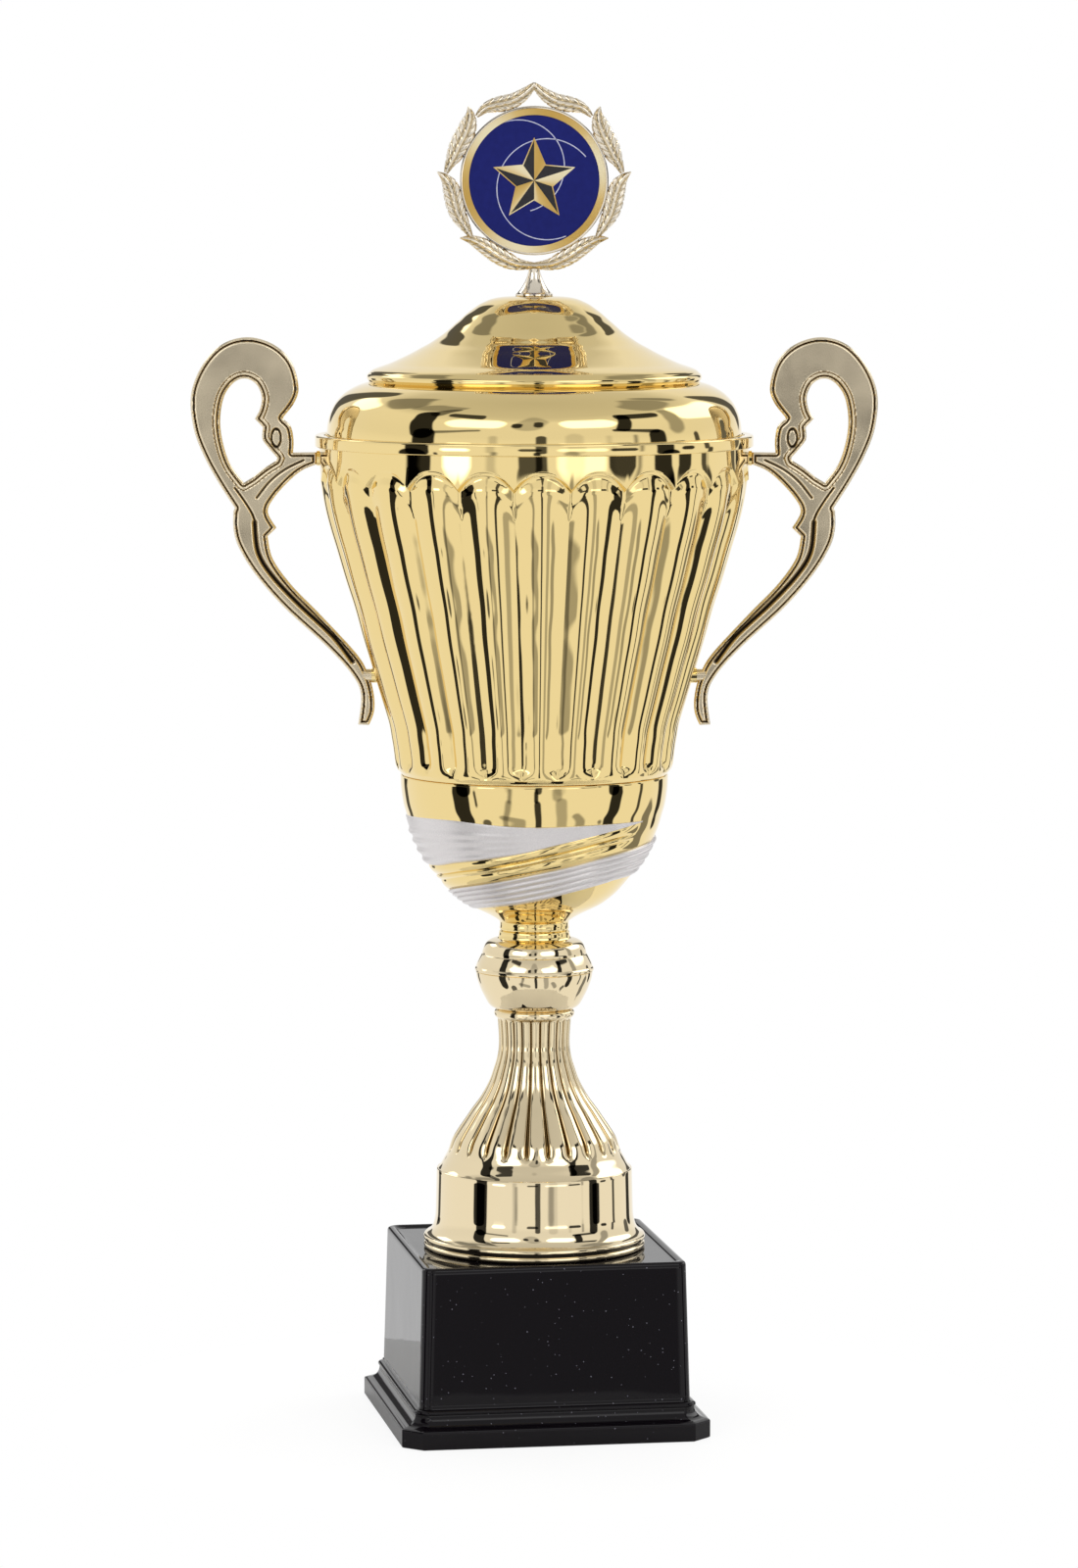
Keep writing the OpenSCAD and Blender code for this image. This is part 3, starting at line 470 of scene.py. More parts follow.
stem_crest = curve_through([
    (30.2, 96), (28.9, 99.9), (26.8, 103.4), (24.4, 106.9), (22, 110.4), (19.4, 113.9), (17.3, 117.4),
    (15.6, 120.9), (14.4, 124.4), (13.3, 127.9), (12.65, 131.4), (12.5, 135.0), (12.7, 139),
    (12.95, 142.2)], 5)
flare = curve_through([
    (33.9, DRUM_TOP_Z), (33.0, 90.6), (31.9, 92.6), (30.9, 94.4), (30.2, 96)], 5)[:-1]
bead = arc((12.5, 144.4), 1.7, -70, 80, 8)
inner = points((9, STEM_TOP_Z), (9, 125), (16, 112), (26, 98), (29, 92), (30, DRUM_TOP_Z))
bm = spun(flare + stem_crest + bead + inner, LOBES * 24)
shade = bm.verts.layers.float.new("groove")
for vert in bm.verts:
    z = vert.co.z
    radius = math.hypot(vert.co.x, vert.co.y)
    if 95 < z < 142.6 and radius > 12:
        u = across_lobe(vert.co)
        # The creases start as pits under rounded ends, a little lower at each crease's middle
        start = ease((z - 95.2) / 3.4) * ease((142.9 - z) / 1.0)
        depth = (0.085 * radius + 0.15) * start
        set_radius(vert, radius - depth * (0.32 * u * u + 0.68 * u**10))
        # Painted shade: the groove attribute darkens the lobes towards each crease
        vert[shade] = start * abs(u) ** 7
fluted_abs = metallised("fluted_champagne_abs", CHAMPAGNE, 0.025)


def paint_groove_shade(material, unshaded, edge, deep):
    """Paints shade into narrow grooves and creases: the colour darkens towards nearly black where the
    groove attribute is high.
    """
    tree = material.node_tree
    shader = next(n for n in tree.nodes if n.type == "BSDF_PRINCIPLED")
    in_groove = node(tree, "ShaderNodeAttribute", attribute_name="groove").outputs["Fac"]
    set_sockets(shader, Base_Color=ramp(tree, in_groove, [(0.0, unshaded), (0.4, edge), (0.95, deep)]))


# Painted shade in the stem's creases, from champagne to dark brown
paint_groove_shade(fluted_abs, CHAMPAGNE, "#a98b52", "#1f160a")
finish_piece(bm, "fluted_stem_gold", fluted_abs, ["fluted_stem"], "cup", crease=50)

# ---------------------------------------------------------------------------
# Knob and neck collar: two halves that meet in a sharp ring, and a waisted
# collar, all moulded, metallised and threaded on the rod under the bowl.
# ---------------------------------------------------------------------------
KNOB_SEAM_Z, KNOB_TOP_Z, COLLAR_TOP_Z = 159.4, 171, 177.4
knob_low = curve_through([
    (13.3, 146.0), (15.0, 146.7), (16.1, 147.7), (16.9, 149.0), (17.8, 150.7), (18.6, 152.3),
    (19.3, 154), (19.95, 155.8), (20.4, 157.6), (20.6, 159.2)], 5)
knob_low += points((20.4, KNOB_SEAM_Z), (ROD_HOLE, KNOB_SEAM_Z), (ROD_HOLE, STEM_TOP_Z))
bm = spun(knob_low, TURNING_STEPS)
finish_piece(bm, "knob_lower_half", champagne_abs, ["knob_cup"], "cup", crease=30)

knob_high = points((20.6, KNOB_SEAM_Z), (20.9, 159.6), (21.0, 160.0), (20.9, 160.5), (20.7, 160.8))
knob_high += curve_through([
    (20.55, 161.0), (20.2, 162.1), (19.7, 163.2), (19.1, 164.4), (18.6, 165.3)], 5)
knob_high += curve_through([
    (18.4, 165.5), (18.2, 166.6), (17.7, 168.0), (17.0, 169.2), (15.9, 170.1), (14.4, 170.7),
    (13.0, 171)], 5)
bm = spun(knob_high + points((ROD_HOLE, KNOB_TOP_Z), (ROD_HOLE, KNOB_SEAM_Z)), TURNING_STEPS)
finish_piece(bm, "knob_upper_half", champagne_abs, ["knob_cap"], "cup", crease=20)

collar = curve_through([(13.0, 171.0), (12.7, 171.5), (12.5, 172.2), (12.4, 173.2)], 5)
collar += points((12.2, 173.6), (11.7, 173.9), (12.1, 174.2), (12.25, 174.6))
collar += curve_through([(12.2, 174.8), (12.1, 175.8), (12.2, 176.8), (12.6, 177.4)], 4)
bm = spun(collar + points((ROD_HOLE, COLLAR_TOP_Z), (ROD_HOLE, KNOB_TOP_Z)), TURNING_STEPS)
bright_abs = metallised("bright_gold_abs", "#edd596", 0.022)
finish_piece(bm, "neck_collar_gold", bright_abs, ["neck_collar"], "cup", crease=30)

# ---------------------------------------------------------------------------
# Bowl: a moulded ABS bowl, metallised bright gold, that stands on the collar
# and takes the cup on its spigot. A raised ribbon winds down round it, sprayed
# in matt silver paint, and the gold left between its turns is ribbed too.
# ---------------------------------------------------------------------------
def between(x, table):
    """Value at x on a line through (x, value) points."""
    if x <= table[0][0]:
        return table[0][1]
    if x >= table[-1][0]:
        return table[-1][1]
    i = bisect_left(table, (x,))
    (x0, y0), (x1, y1) = table[i - 1], table[i]
    return y0 + (y1 - y0) * (x - x0) / (x1 - x0)


def eased_table(table, steps=8):
    return [tuple(p) for p in curve_through(table, steps)]


SEAM_Z = 229.2
bowl_skin = curve_through([
    (12.6, 177.4), (14.4, 178.6), (17.6, 180.3), (21.2, 182.0), (24.6, 183.9), (28.6, 187.1),
    (31.8, 190.6), (34.6, 194.1), (37.3, 197.6), (39.4, 201), (41.2, 204.5), (42.6, 208),
    (43.9, 211.4), (44.9, 214.9), (45.9, 218.4), (46.5, 221.8), (46.9, 225.3), (47.0, 228.6)], 5)
bowl_lip = points((46.9, 229.0), (46.6, SEAM_Z), (45, SEAM_Z), (45, 237), (43.3, 237.2), (43.2, 229))
bowl_inside = points(
    (42.8, 218), (40.6, 208), (37.4, 201), (32.6, 194), (26.5, 188), (15, 182.6), (ROD_HOLE, 182.6),
    (ROD_HOLE, COLLAR_TOP_Z))
# The ribbon runs from a point on the right front to the left, round behind, and down to the left front
RIBBON_START = 57.0
RIBBON_TURN = 545.0
GAP_TURN = RIBBON_TURN - 360
RIDGE_HEIGHT = 0.95
ribbon_top = eased_table([
    (0, 214.9), (25, 215.1), (55, 214.9), (69, 215.2), (84, 216.0), (102, 216.5), (147, 215.2),
    (237, 212), (300, 208.4), (341, 206.3), (359, 205.2), (381, 203.2), (398, 200.6), (415, 198.1),
    (433, 195.4), (461, 192.1), (508, 187.7), (545, 185)])
ribbon_low = eased_table([
    (0, 214.6), (15, 212.9), (32, 210.5), (47, 208), (62, 205.1), (79, 202.7), (99, 200.5),
    (135, 197.4), (237, 195.4), (300, 194.6), (357, 193.6), (371, 192.6), (383, 191.3),
    (398, 189.4), (408, 187.9), (419, 186.6), (438, 184.9), (505, 181.2), (545, 181)])
skin_at = [(p.y, p.x) for p in bowl_skin]
BAND_SUNK = 0.25

WIDE_TURNING_STEPS = 320
bm = spun(bowl_skin + bowl_lip + bowl_inside, WIDE_TURNING_STEPS)
finish_piece(bm, "bowl_gold", bright_abs, ["lower_bowl"], "cup", crease=35)


def wound_band(s_end, along, across, top_at, low_at, rib_at):
    """Band on the bowl from the ribbon's start to s_end degrees along it, raised by rib_at(s, v) mm."""
    bm = bmesh.new()
    bmesh.ops.create_grid(bm, x_segments=along, y_segments=across, size=0.5)
    for vert in bm.verts:
        s = (vert.co.x + 0.5) * s_end
        v = vert.co.y + 0.5
        z = low_at(s) + (top_at(s) - low_at(s)) * v
        radius = between(z, skin_at) - BAND_SUNK + rib_at(s, v)
        angle = math.radians(RIBBON_START - s)
        vert.co = Vector((radius * math.sin(angle), -radius * math.cos(angle), z))
    turn_faces(bm, bm.faces[:], lambda f: f.calc_center_median() * Vector((1, 1, 0)))
    bmesh.ops.solidify(bm, geom=bm.faces[:], thickness=2 * BAND_SUNK)
    return bm


def silver_relief(s, v):
    """Smooth at the upper turn's tip, with soft ribs at the left and crisp ones on the lower turn."""
    soft = math.sin(math.pi * 4 * min(v / 0.75, 1)) ** 2 * ease((s - 50) / 80)
    crisp = abs(math.sin(math.pi * 5 * v)) ** 0.75
    turn = ease((s - 200) / 100)
    swell = 0.5 * ease(s / 40) * ease((RIBBON_TURN - s) / 30)
    edge_drop = ease(min(v, 1 - v) / 0.05)
    return edge_drop * (0.42 + RIDGE_HEIGHT * ((1 - turn) * (0.5 * swell + 0.85 * soft) + turn * crisp))


def gold_relief(s, v):
    """A wide rib under the upper turn, then a narrow one, and a wide one over the lower turn."""
    bounds = (0.0, 0.42, 0.62, 1.0)
    i = 0 if v < bounds[1] else 1 if v < bounds[2] else 2
    across = (v - bounds[i]) / (bounds[i + 1] - bounds[i])
    fade = ease(s / 16) * ease((GAP_TURN - s) / 40)
    return 0.2 + fade * 0.75 * math.sin(math.pi * across) ** 0.8


# The gold ribs reach a little under the ribbon's turns above and below them
UNDER_RIBBON = 0.3
bm = wound_band(
    GAP_TURN, 240, 42, lambda s: between(s, ribbon_low) + UNDER_RIBBON,
    lambda s: between(s + 360, ribbon_top) - UNDER_RIBBON, gold_relief)
finish_piece(bm, "gold_ribs", bright_abs, [], "cup", crease=45)

# Matt silver lacquer: fine aluminium flake in a clear binder, sprayed, so it glows and never mirrors.
silver_lacquer, tree, shader = new_material("silver_lacquer")
flake = noise(tree, object_place(tree), 3.0, 3)
flake_colour = ramp(tree, flake, [(0.35, "#d9d5d5"), (0.65, "#e5e1e0")])
set_sockets(
    shader, Base_Color=flake_colour, Metallic=0.75, Roughness=0.38, Normal=bump(tree, flake, 0.04, 0.5))
bm = wound_band(
    RIBBON_TURN, 620, 48, lambda s: between(s, ribbon_top), lambda s: between(s, ribbon_low),
    silver_relief)
finish_piece(bm, "silver_ribbon", silver_lacquer, [], "cup", crease=60)

# ---------------------------------------------------------------------------
# Fluted cup: one ABS moulding with 24 convex lobes that end in small arches
# under a plain band, a rim with a flat top and a ledge for the lid. It is
# metallised bright gold and pushed on the bowl's spigot.
# ---------------------------------------------------------------------------
CREASE_TOP_Z = 331.0
ARCH_RISE = 6.0
BAND_RADIUS = 75.1
LOBE_FOOT_Z = 231.0
RIM_LOW_Z = 344.0
RIM_TOP_Z = 348.2
LEDGE_Z = 345.6
CUP_WALL = 1.7
LOBE_ROWS = 70
# Near its arch a crease loses this share of its depth, and the lobe sinks by so many mm
ARCH_FADE = 0.55
ARCH_SINK = 0.8

cup_crest = curve_through([
    (47.7, 230.4), (48.7, 232.2), (49.15, 235.7), (49.6, 239.1), (50.2, 242.6), (50.75, 246),
    (51.7, 249.5), (53.9, 256.7), (56.8, 266.5), (60.0, 277.1), (62.8, 287.4), (66.1, 297.7),
    (69.1, 308), (71.2, 314.9), (73.0, 322), (74.2, 328.6), (74.8, 333), (75.05, 337.5),
    (75.1, 341)], 4)
crest_at = [(p.y, p.x) for p in cup_crest]


def crease_depth(z):
    return (1.9 + 0.7 * min(max((z - 240) / 90, 0), 1)) * ease((z - 231) / 3.5)


def lobe_fall(u):
    """Share of the crease's depth at place u across a lobe, which is round with flatter flanks."""
    return (math.sqrt(u * u + 0.5625) - 0.75) / 0.5


foot = points(
    (45.1, SEAM_Z), (46.4, SEAM_Z), (46.75, 229.35), (46.9, 229.7), (47.2, 230.0), (47.5, 230.4))
LOBE_HEIGHT = CREASE_TOP_Z - LOBE_FOOT_Z
row_heights = [LOBE_FOOT_Z + LOBE_HEIGHT * (k / LOBE_ROWS) for k in range(LOBE_ROWS + 1)]
lobe_rows = [Vector((between(z, crest_at), z)) for z in row_heights]
edge_rows = [Vector((BAND_RADIUS, CREASE_TOP_Z + h)) for h in (0.3, 0.6, 0.9, 1.2, 1.6, 2.0)]
band_rows = [Vector((BAND_RADIUS, z)) for z in (340.2, 341, 342, 343, 343.9)]
rim_rows = points((75.3, RIM_LOW_Z), (76.1, RIM_LOW_Z + 0.05))
rim_rows += arc((76.2, RIM_LOW_Z + 0.45), 0.4, -60, 0, 3)
rim_rows += arc((75.8, RIM_TOP_Z - 0.8), 0.8, 0, 90, 6)
rim_rows += points((73.9, RIM_TOP_Z), (73.55, 348.1), (73.4, 347.8))
inside_rows = points(
    (73.4, LEDGE_Z), (70.6, LEDGE_Z), (70.6, 344.2), (72.4, 343), (72.4, 340), (69.8, 335))
inside_rows += [
    Vector((between(z, crest_at) - crease_depth(z) - CUP_WALL, z)) for z in range(330, 241, -6)]
inside_rows += points((45.1, 238.2))
bm = spun(foot + lobe_rows + edge_rows + band_rows + rim_rows + inside_rows, LOBES * 20)
for vert in bm.verts:
    z = vert.co.z
    radius = math.hypot(vert.co.x, vert.co.y)
    if z < LOBE_FOOT_Z - 0.01 or z > CREASE_TOP_Z + 2.1 or radius < between(z, crest_at) - 1:
        continue
    u = across_lobe(vert.co)
    arch = CREASE_TOP_Z + ARCH_RISE * (1 - abs(u) ** 2.2)
    if z <= CREASE_TOP_Z + 0.01:
        share = (z - LOBE_FOOT_Z) / LOBE_HEIGHT
        vert.co.z = LOBE_FOOT_Z + (arch - LOBE_FOOT_Z) * share
        # Each lobe sinks a little just before its arch, so the band's edge stands proud of it
        sink = ARCH_SINK * ease((share - 0.95) / 0.05)
        depth = crease_depth(vert.co.z) * lobe_fall(u) * (1 - ARCH_FADE * ease((share - 0.9) / 0.1))
        set_radius(vert, between(vert.co.z, crest_at) - depth - sink)
    else:
        vert.co.z = arch + (z - CREASE_TOP_Z)
        rise = ease((z - CREASE_TOP_Z) / 1.7)
        depth = (1 - ARCH_FADE) * crease_depth(arch) * lobe_fall(u)
        below = between(arch, crest_at) - depth - ARCH_SINK
        set_radius(vert, below + (BAND_RADIUS - below) * rise)
# Round bosses carry the handles' ends, each from a place inside the wall out to its face
BOSS_RADIUS = 2.6
BOSS_HEIGHTS = (339.8, 263.6)
for height, wall_x, face_x in zip(BOSS_HEIGHTS, (72.5, 52.5), (76.0, 57.0)):
    for side in (-1, 1):
        middle = Matrix.Translation((side * (wall_x + face_x) / 2, 0, height))
        bmesh.ops.create_cone(
            bm, cap_ends=True, segments=40, radius1=BOSS_RADIUS, radius2=BOSS_RADIUS,
            depth=face_x - wall_x, matrix=middle @ Matrix.Rotation(math.pi / 2, 4, "Y"))
finish_piece(bm, "fluted_cup_gold", bright_abs, ["fluted_cup"], "cup", crease=32)

# ---------------------------------------------------------------------------
# Handles: flat pierced scrolls moulded in ABS with a rounded raised border,
# metallised in light champagne and screwed on from inside the cup.
# ---------------------------------------------------------------------------
FRONT = Vector((0, -1, 0))
HANDLE_CELL = 0.27
LUG_RADIUS = 2.3
outline = curve_through([
    (87.8, 353.9), (83.6, 359.5), (82.3, 365), (84.8, 373.5), (91, 379.5), (100, 382), (109, 379.5),
    (116, 372), (119.8, 362), (119, 350.5), (115.5, 340.8), (110.5, 331.5), (104.7, 322.4)], 8)
outline += curve_through([
    (105.2, 321.4), (105.2, 315), (103.3, 308.5), (97.5, 299), (87.5, 287.5), (72.5, 273.6),
    (63.8, 263.8), (60.8, 256.7), (61.8, 246.4)], 8)
outline += curve_through([
    (58, 246.2), (56.2, 251), (56.3, 257), (58.2, 264), (62.4, 271.3), (75, 285), (85, 295.3),
    (91.5, 304.5), (93.3, 312.4)], 8)
outline += curve_through([
    (90.2, 315.4), (93.2, 321), (90.9, 326), (85.5, 332), (81, 335.6), (76, 337.7)], 5)
outline += points((76, 341.9))
outline += curve_through([(84.3, 341.8), (84.1, 346), (85, 350.8), (87.4, 353.3)], 4)
eye = curve_through([
    (101.6, 331.2), (106.1, 337.4), (108.7, 344.8), (109.7, 353), (108.4, 361), (105, 366),
    (101, 367.6), (97.2, 365.8), (95.2, 361.5), (95.8, 357), (97.6, 353.6)], 6)
eye += curve_through([(94.8, 350.6), (95, 346.6), (93, 343.6), (89.8, 339.9)], 5)
eye += curve_through([(90.2, 339), (94.3, 336.4), (98.3, 333.2)], 4)

pale_abs = metallised("pale_champagne_abs", "#e9dabc", 0.2, wave_depth=0.02)
# Painted shade in the handles' grooves and in the lines round their borders
paint_groove_shade(pale_abs, "#e9dabc", "#bfab88", "#1c150d")


def closed_line(corners, step=0.12):
    """Points of a closed line set close together, as 3-D points in the handle's plane."""
    out = []
    for a, b in zip(corners, corners[1:] + corners[:1]):
        count = max(1, int((b - a).length / step))
        out += [Vector((*a.lerp(b, k / count), 0)) for k in range(count)]
    return out


def near(places):
    """Gives a function that finds which of the places is nearest to a place, and how far away it is."""
    tree = KDTree(len(places))
    for i, p in enumerate(places):
        tree.insert(p, i)
    tree.balance()
    return tree.find


def stroke(keys):
    """Finder of the nearest place on a smooth curve through key points."""
    line = curve_through(keys, 10)
    return near([Vector((*a.lerp(b, k / 6), 0)) for a, b in zip(line, line[1:]) for k in range(6)])


edge_of_outline = near(closed_line(outline))
edge_of_eye = near(closed_line(eye))

# Grooves cut in the face, each with its line, half width and depth
GROOVES = [
    (stroke([
        (97.8, 317.5), (96.6, 307), (91.6, 298.6), (82, 288.4), (70.5, 277.6), (63.6, 268.6)]), 1.0, 0.7),
    (stroke([(104.6, 329.5), (101.4, 325), (98.6, 320.4), (97.5, 317)]), 0.45, 0.5),
    (stroke([(80.6, 339.2), (87, 336), (92.5, 331.6), (97, 326)]), 0.5, 0.5)]
DROP_CENTRE = Vector((90.1, 347))
DROP_HALF_WIDTH, DROP_HALF_HEIGHT = 1.65, 3.15


def groove(distance, half_width):
    return ease(1.25 - distance / half_width) if distance < 1.25 * half_width else 0.0


def relief_at(x, z):
    """Height of the face over the handle's middle plane, and how deep in a groove the place is, which
    also sets the painted shade there.
    """
    place = Vector((x, z, 0))
    rim = edge_of_outline(place)[2]
    eye_rim = edge_of_eye(place)[2]
    edge = min(rim, eye_rim)
    height = 1.15 + 0.75 * ease(edge / 0.5) + 0.4 * ease((edge - 1.1) / 0.7)
    dark = groove(abs(rim - 1.15), 0.3)
    dark = max(dark, groove(abs(eye_rim - 1.1), 0.27), 0.8 * groove(abs(eye_rim - 2.4), 0.2))
    for line, half_width, depth in GROOVES:
        cut = groove(line(place)[2], half_width)
        dark = max(dark, cut)
        height -= cut * (depth - 0.5)
    drop = math.hypot((x - DROP_CENTRE.x) / DROP_HALF_WIDTH, (z - DROP_CENTRE.y) / DROP_HALF_HEIGHT)
    dark = max(dark, groove(abs(drop - 1) * DROP_HALF_WIDTH, 0.35))
    height -= 0.5 * ease((1.15 - drop) / 0.3)
    return height - 0.5 * dark, dark


def handle_mesh(side):
    """One handle: a fine grid cut to the pierced outline, with its edge on the line, then shaped."""
    fill = bmesh.new()
    for line in (outline, eye):
        loop = [fill.verts.new((p.x, 0, p.y)) for p in line]
        for pair in zip(loop, loop[1:] + loop[:1]):
            fill.edges.new(pair)
    bmesh.ops.triangle_fill(fill, edges=fill.edges[:], use_beauty=True)
    inside = BVHTree.FromBMesh(fill)
    fill.free()
    bm = bmesh.new()
    low, high = Vector((55.5, 245.5)), Vector((120.5, 382.5))
    columns, rows = (round((high[i] - low[i]) / HANDLE_CELL) for i in (0, 1))
    bmesh.ops.create_grid(bm, x_segments=columns, y_segments=rows, size=0.5)
    for vert in bm.verts:
        vert.co = Vector((
            low.x + (vert.co.x + 0.5) * (high.x - low.x), 0,
            low.y + (vert.co.y + 0.5) * (high.y - low.y)))
    stray = []
    for face in bm.faces:
        middle = face.calc_center_median()
        if inside.ray_cast((middle.x, -5, middle.z), (0, 1, 0))[0] is None:
            stray.append(face)
    bmesh.ops.delete(bm, geom=stray, context="FACES")
    for vert in bm.verts:
        if vert.is_boundary:
            place = Vector((vert.co.x, vert.co.z, 0))
            to_rim, to_eye = edge_of_outline(place), edge_of_eye(place)
            goal = to_rim[0] if to_rim[2] < to_eye[2] else to_eye[0]
            vert.co = Vector((goal.x, 0, goal.y))
    inner = [v for v in bm.verts if not v.is_boundary]
    bmesh.ops.smooth_vert(bm, verts=inner, factor=0.5, use_axis_x=True, use_axis_z=True)
    shade = bm.verts.layers.float.new("groove")
    for vert in bm.verts:
        height, dark = relief_at(vert.co.x, vert.co.z)
        vert.co.y = -height
        # Painted shade: the colour darkens with the groove value
        vert[shade] = dark
    turn_faces(bm, bm.faces[:], lambda f: FRONT)
    edges = [e for e in bm.edges if e.is_boundary]
    sides = bmesh.ops.extrude_edge_only(bm, edges=edges)["geom"]
    bmesh.ops.scale(bm, vec=(1, 0, 1), verts=[g for g in sides if isinstance(g, bmesh.types.BMVert)])
    bmesh.ops.mirror(
        bm, geom=bm.verts[:] + bm.edges[:] + bm.faces[:], matrix=Matrix.Identity(4), merge_dist=0.001,
        axis="Y")
    lug = Matrix.Translation((58.7, 0, BOSS_HEIGHTS[1])) @ Matrix.Rotation(math.pi / 2, 4, "Y")
    bmesh.ops.create_cone(
        bm, cap_ends=True, segments=40, radius1=LUG_RADIUS, radius2=LUG_RADIUS, depth=3.4, matrix=lug)
    if side < 0:
        bmesh.ops.scale(bm, vec=(-1, 1, 1), verts=bm.verts)
    bmesh.ops.recalc_face_normals(bm, faces=bm.faces)
    return bm


finish_piece(
    handle_mesh(1), "right_handle_scroll", pale_abs, ["right_handle"], "cup",
    crease=40)
finish_piece(
    handle_mesh(-1), "left_handle_scroll", pale_abs, ["left_handle"], "cup",
    crease=40)

# ---------------------------------------------------------------------------
# Lid: a hollow ABS dome, metallised bright gold, with a bead round it. It only
# rests on the ledge inside the cup's rim and lifts straight off.
# ---------------------------------------------------------------------------
LID_TOP_Z = 396.4
lid_outside = points((71.6, LEDGE_Z), (72.2, 345.7), (72.45, 346.0))
lid_outside += curve_through([
    (72.5, 346.4), (72.5, 348.5), (72.3, 351), (71.85, 353.6), (71.0, 356.2), (69.3, 359.4),
    (66.6, 362.3), (63.6, 364.3), (60.8, 365.6), (58.2, 366.4)], 6)
lid_outside += arc((56.85, 368.25), 1.65, -62, 62, 10)
lid_outside += curve_through([
    (57.4, 370.0), (56.2, 370.9), (53.6, 371.9), (50.4, 373.0), (46.6, 374.7), (42.7, 376.6),
    (39.4, 378.4), (36.6, 379.9), (34.0, 381.6), (31.4, 383.4), (29.4, 385.1), (27.5, 386.8),
    (25.5, 388.5), (23.6, 390.2), (21.5, 391.8), (19.2, 393.4), (17, 394.5), (15, 395.3),
    (12, 395.95), (8, 396.3), (2.2, LID_TOP_Z)], 4)
lid_inside = points(
    (2.2, 393.4), (7, 393.4), (14, 392.4), (21, 388), (28, 382.6), (36, 377.2), (46, 372.2), (54, 369),
    (56, 365.2), (62, 363), (66, 360), (69, 355.4), (70.4, 350), (70.8, LEDGE_Z))
bm = spun(lid_outside + lid_inside, WIDE_TURNING_STEPS)
finish_piece(bm, "lid_gold", bright_abs, ["lid"], "lid", crease=32)

# ---------------------------------------------------------------------------
# Laurel holder: wreath, dish and trumpet foot moulded in one piece of ABS and
# metallised in silvery gold. A stud through the lid's crown holds it.
# ---------------------------------------------------------------------------
EMBLEM_Z = 436.4
wreath_abs = metallised("silvery_gold_abs", "#efe5d3", 0.12, 9, 0.02)
# Painted shade in the leaves' engraved lines and beside the midrib
paint_groove_shade(wreath_abs, "#efe5d3", "#c4b08a", "#6b5833")

# Each leaf's middle line on the right, as its place from the emblem's middle and half width there
LEAVES = {
    "top": [
        (20, 22.2, 0.7), (17.2, 24.8, 1.8), (14.1, 26, 2.6), (10.7, 26.7, 2.9), (7.2, 27.7, 2.7),
        (3.4, 30, 2.2), (-0.3, 33.4, 0.9)],
    "upper": [
        (30.7, 2.6, 0.8), (29.4, 5.6, 1.8), (27.9, 8.4, 2.8), (26.1, 12.2, 3.5), (24.1, 16, 3.5),
        (22.7, 20, 2.9), (22.3, 23, 1.6), (22.9, 25.6, 0.3)],
    "lower": [
        (22, -19.2, 0.8), (24.5, -15.2, 2.2), (26.4, -11.7, 3), (27.6, -7.9, 3.3), (28.5, -4.2, 3.2),
        (29.7, -1, 2.6), (31.6, 1.4, 1.4), (33.7, 3, 0.3)],
    "bottom": [
        (-0.8, -29.6, 1.1), (5.3, -29.1, 2.1), (9.1, -27.8, 2.9), (12.9, -25.8, 3.1), (16, -23.7, 3),
        (19.2, -21.8, 2.5), (22.3, -20.4, 1.6), (25.8, -19.9, 0.3)]}
LEAF_LENGTH_STEPS, LEAF_WIDTH_STEPS = 120, 22
BARB_PITCH = 2.9

bm = bmesh.new()
shade = bm.verts.layers.float.new("groove")
for spine in LEAVES.values():
    path = curve_through(spine, 12)
    lengths = [0.0]
    for a, b in zip(path, path[1:]):
        lengths.append(lengths[-1] + (b.xy - a.xy).length)
    by_length = {axis: [(s, p[axis]) for s, p in zip(lengths, path)] for axis in range(3)}
    grid = bmesh.ops.create_grid(
        bm, x_segments=LEAF_LENGTH_STEPS, y_segments=LEAF_WIDTH_STEPS, size=0.5)
    for vert in grid["verts"]:
        s = (vert.co.x + 0.5) * lengths[-1]
        v = vert.co.y * 2
        x, z, width = (between(s, by_length[axis]) for axis in range(3))
        after, before = min(s + 0.4, lengths[-1]), max(s - 0.4, 0)
        ahead = [between(after, by_length[axis]) - between(before, by_length[axis]) for axis in (0, 1)]
        ahead = Vector(ahead).normalized()
        # Engraved lines lean towards the tip, and the midrib is a narrow ridge between two grooves
        along = (s - 1.3 * abs(v) * min(width, 3)) / BARB_PITCH % 1
        barb = 1 - ease(abs(along - 0.5) / 0.17)
        edge = ease((1 - abs(v)) / 0.16)
        rib = math.exp(-((v * width / 0.42) ** 2))
        dip = math.exp(-(((abs(v) * width - 0.85) / 0.4) ** 2))
        crown = 0.95 + 0.5 * (1 - v * v) - 0.16 * barb * (1 - rib)
        rise = 0.5 + edge * crown + 0.2 * rib - 0.15 * dip * edge
        width *= 1 - 0.1 * barb * v * v
        # Painted shade in the engraved lines and in the grooves beside the midrib
        vert[shade] = 0.5 * max(barb * (1 - rib), dip * edge)
        vert.co = Vector((x + v * width * ahead.y, -rise, z - v * width * ahead.x + EMBLEM_Z))
    leaf_faces = list({f for vert in grid["verts"] for f in vert.link_faces})
    turn_faces(bm, leaf_faces, lambda f: FRONT)
    leaf_edges = list({e for f in leaf_faces for e in f.edges})
    behind = bmesh.ops.duplicate(bm, geom=grid["verts"] + leaf_edges + leaf_faces)["geom"]
    bmesh.ops.scale(
        bm, vec=(1, -0.75, 1), verts=[g for g in behind if isinstance(g, bmesh.types.BMVert)])
    bmesh.ops.bridge_loops(bm, edges=[e for e in bm.edges if e.is_boundary])
bmesh.ops.translate(bm, vec=(0, -0.4, 0), verts=bm.verts)
bmesh.ops.mirror(
    bm, geom=bm.verts[:] + bm.edges[:] + bm.faces[:], matrix=Matrix.Identity(4), merge_dist=-1,
    axis="X")
bmesh.ops.recalc_face_normals(bm, faces=bm.faces)
finish_piece(bm, "laurel_leaves", wreath_abs, [], "lid", crease=70)


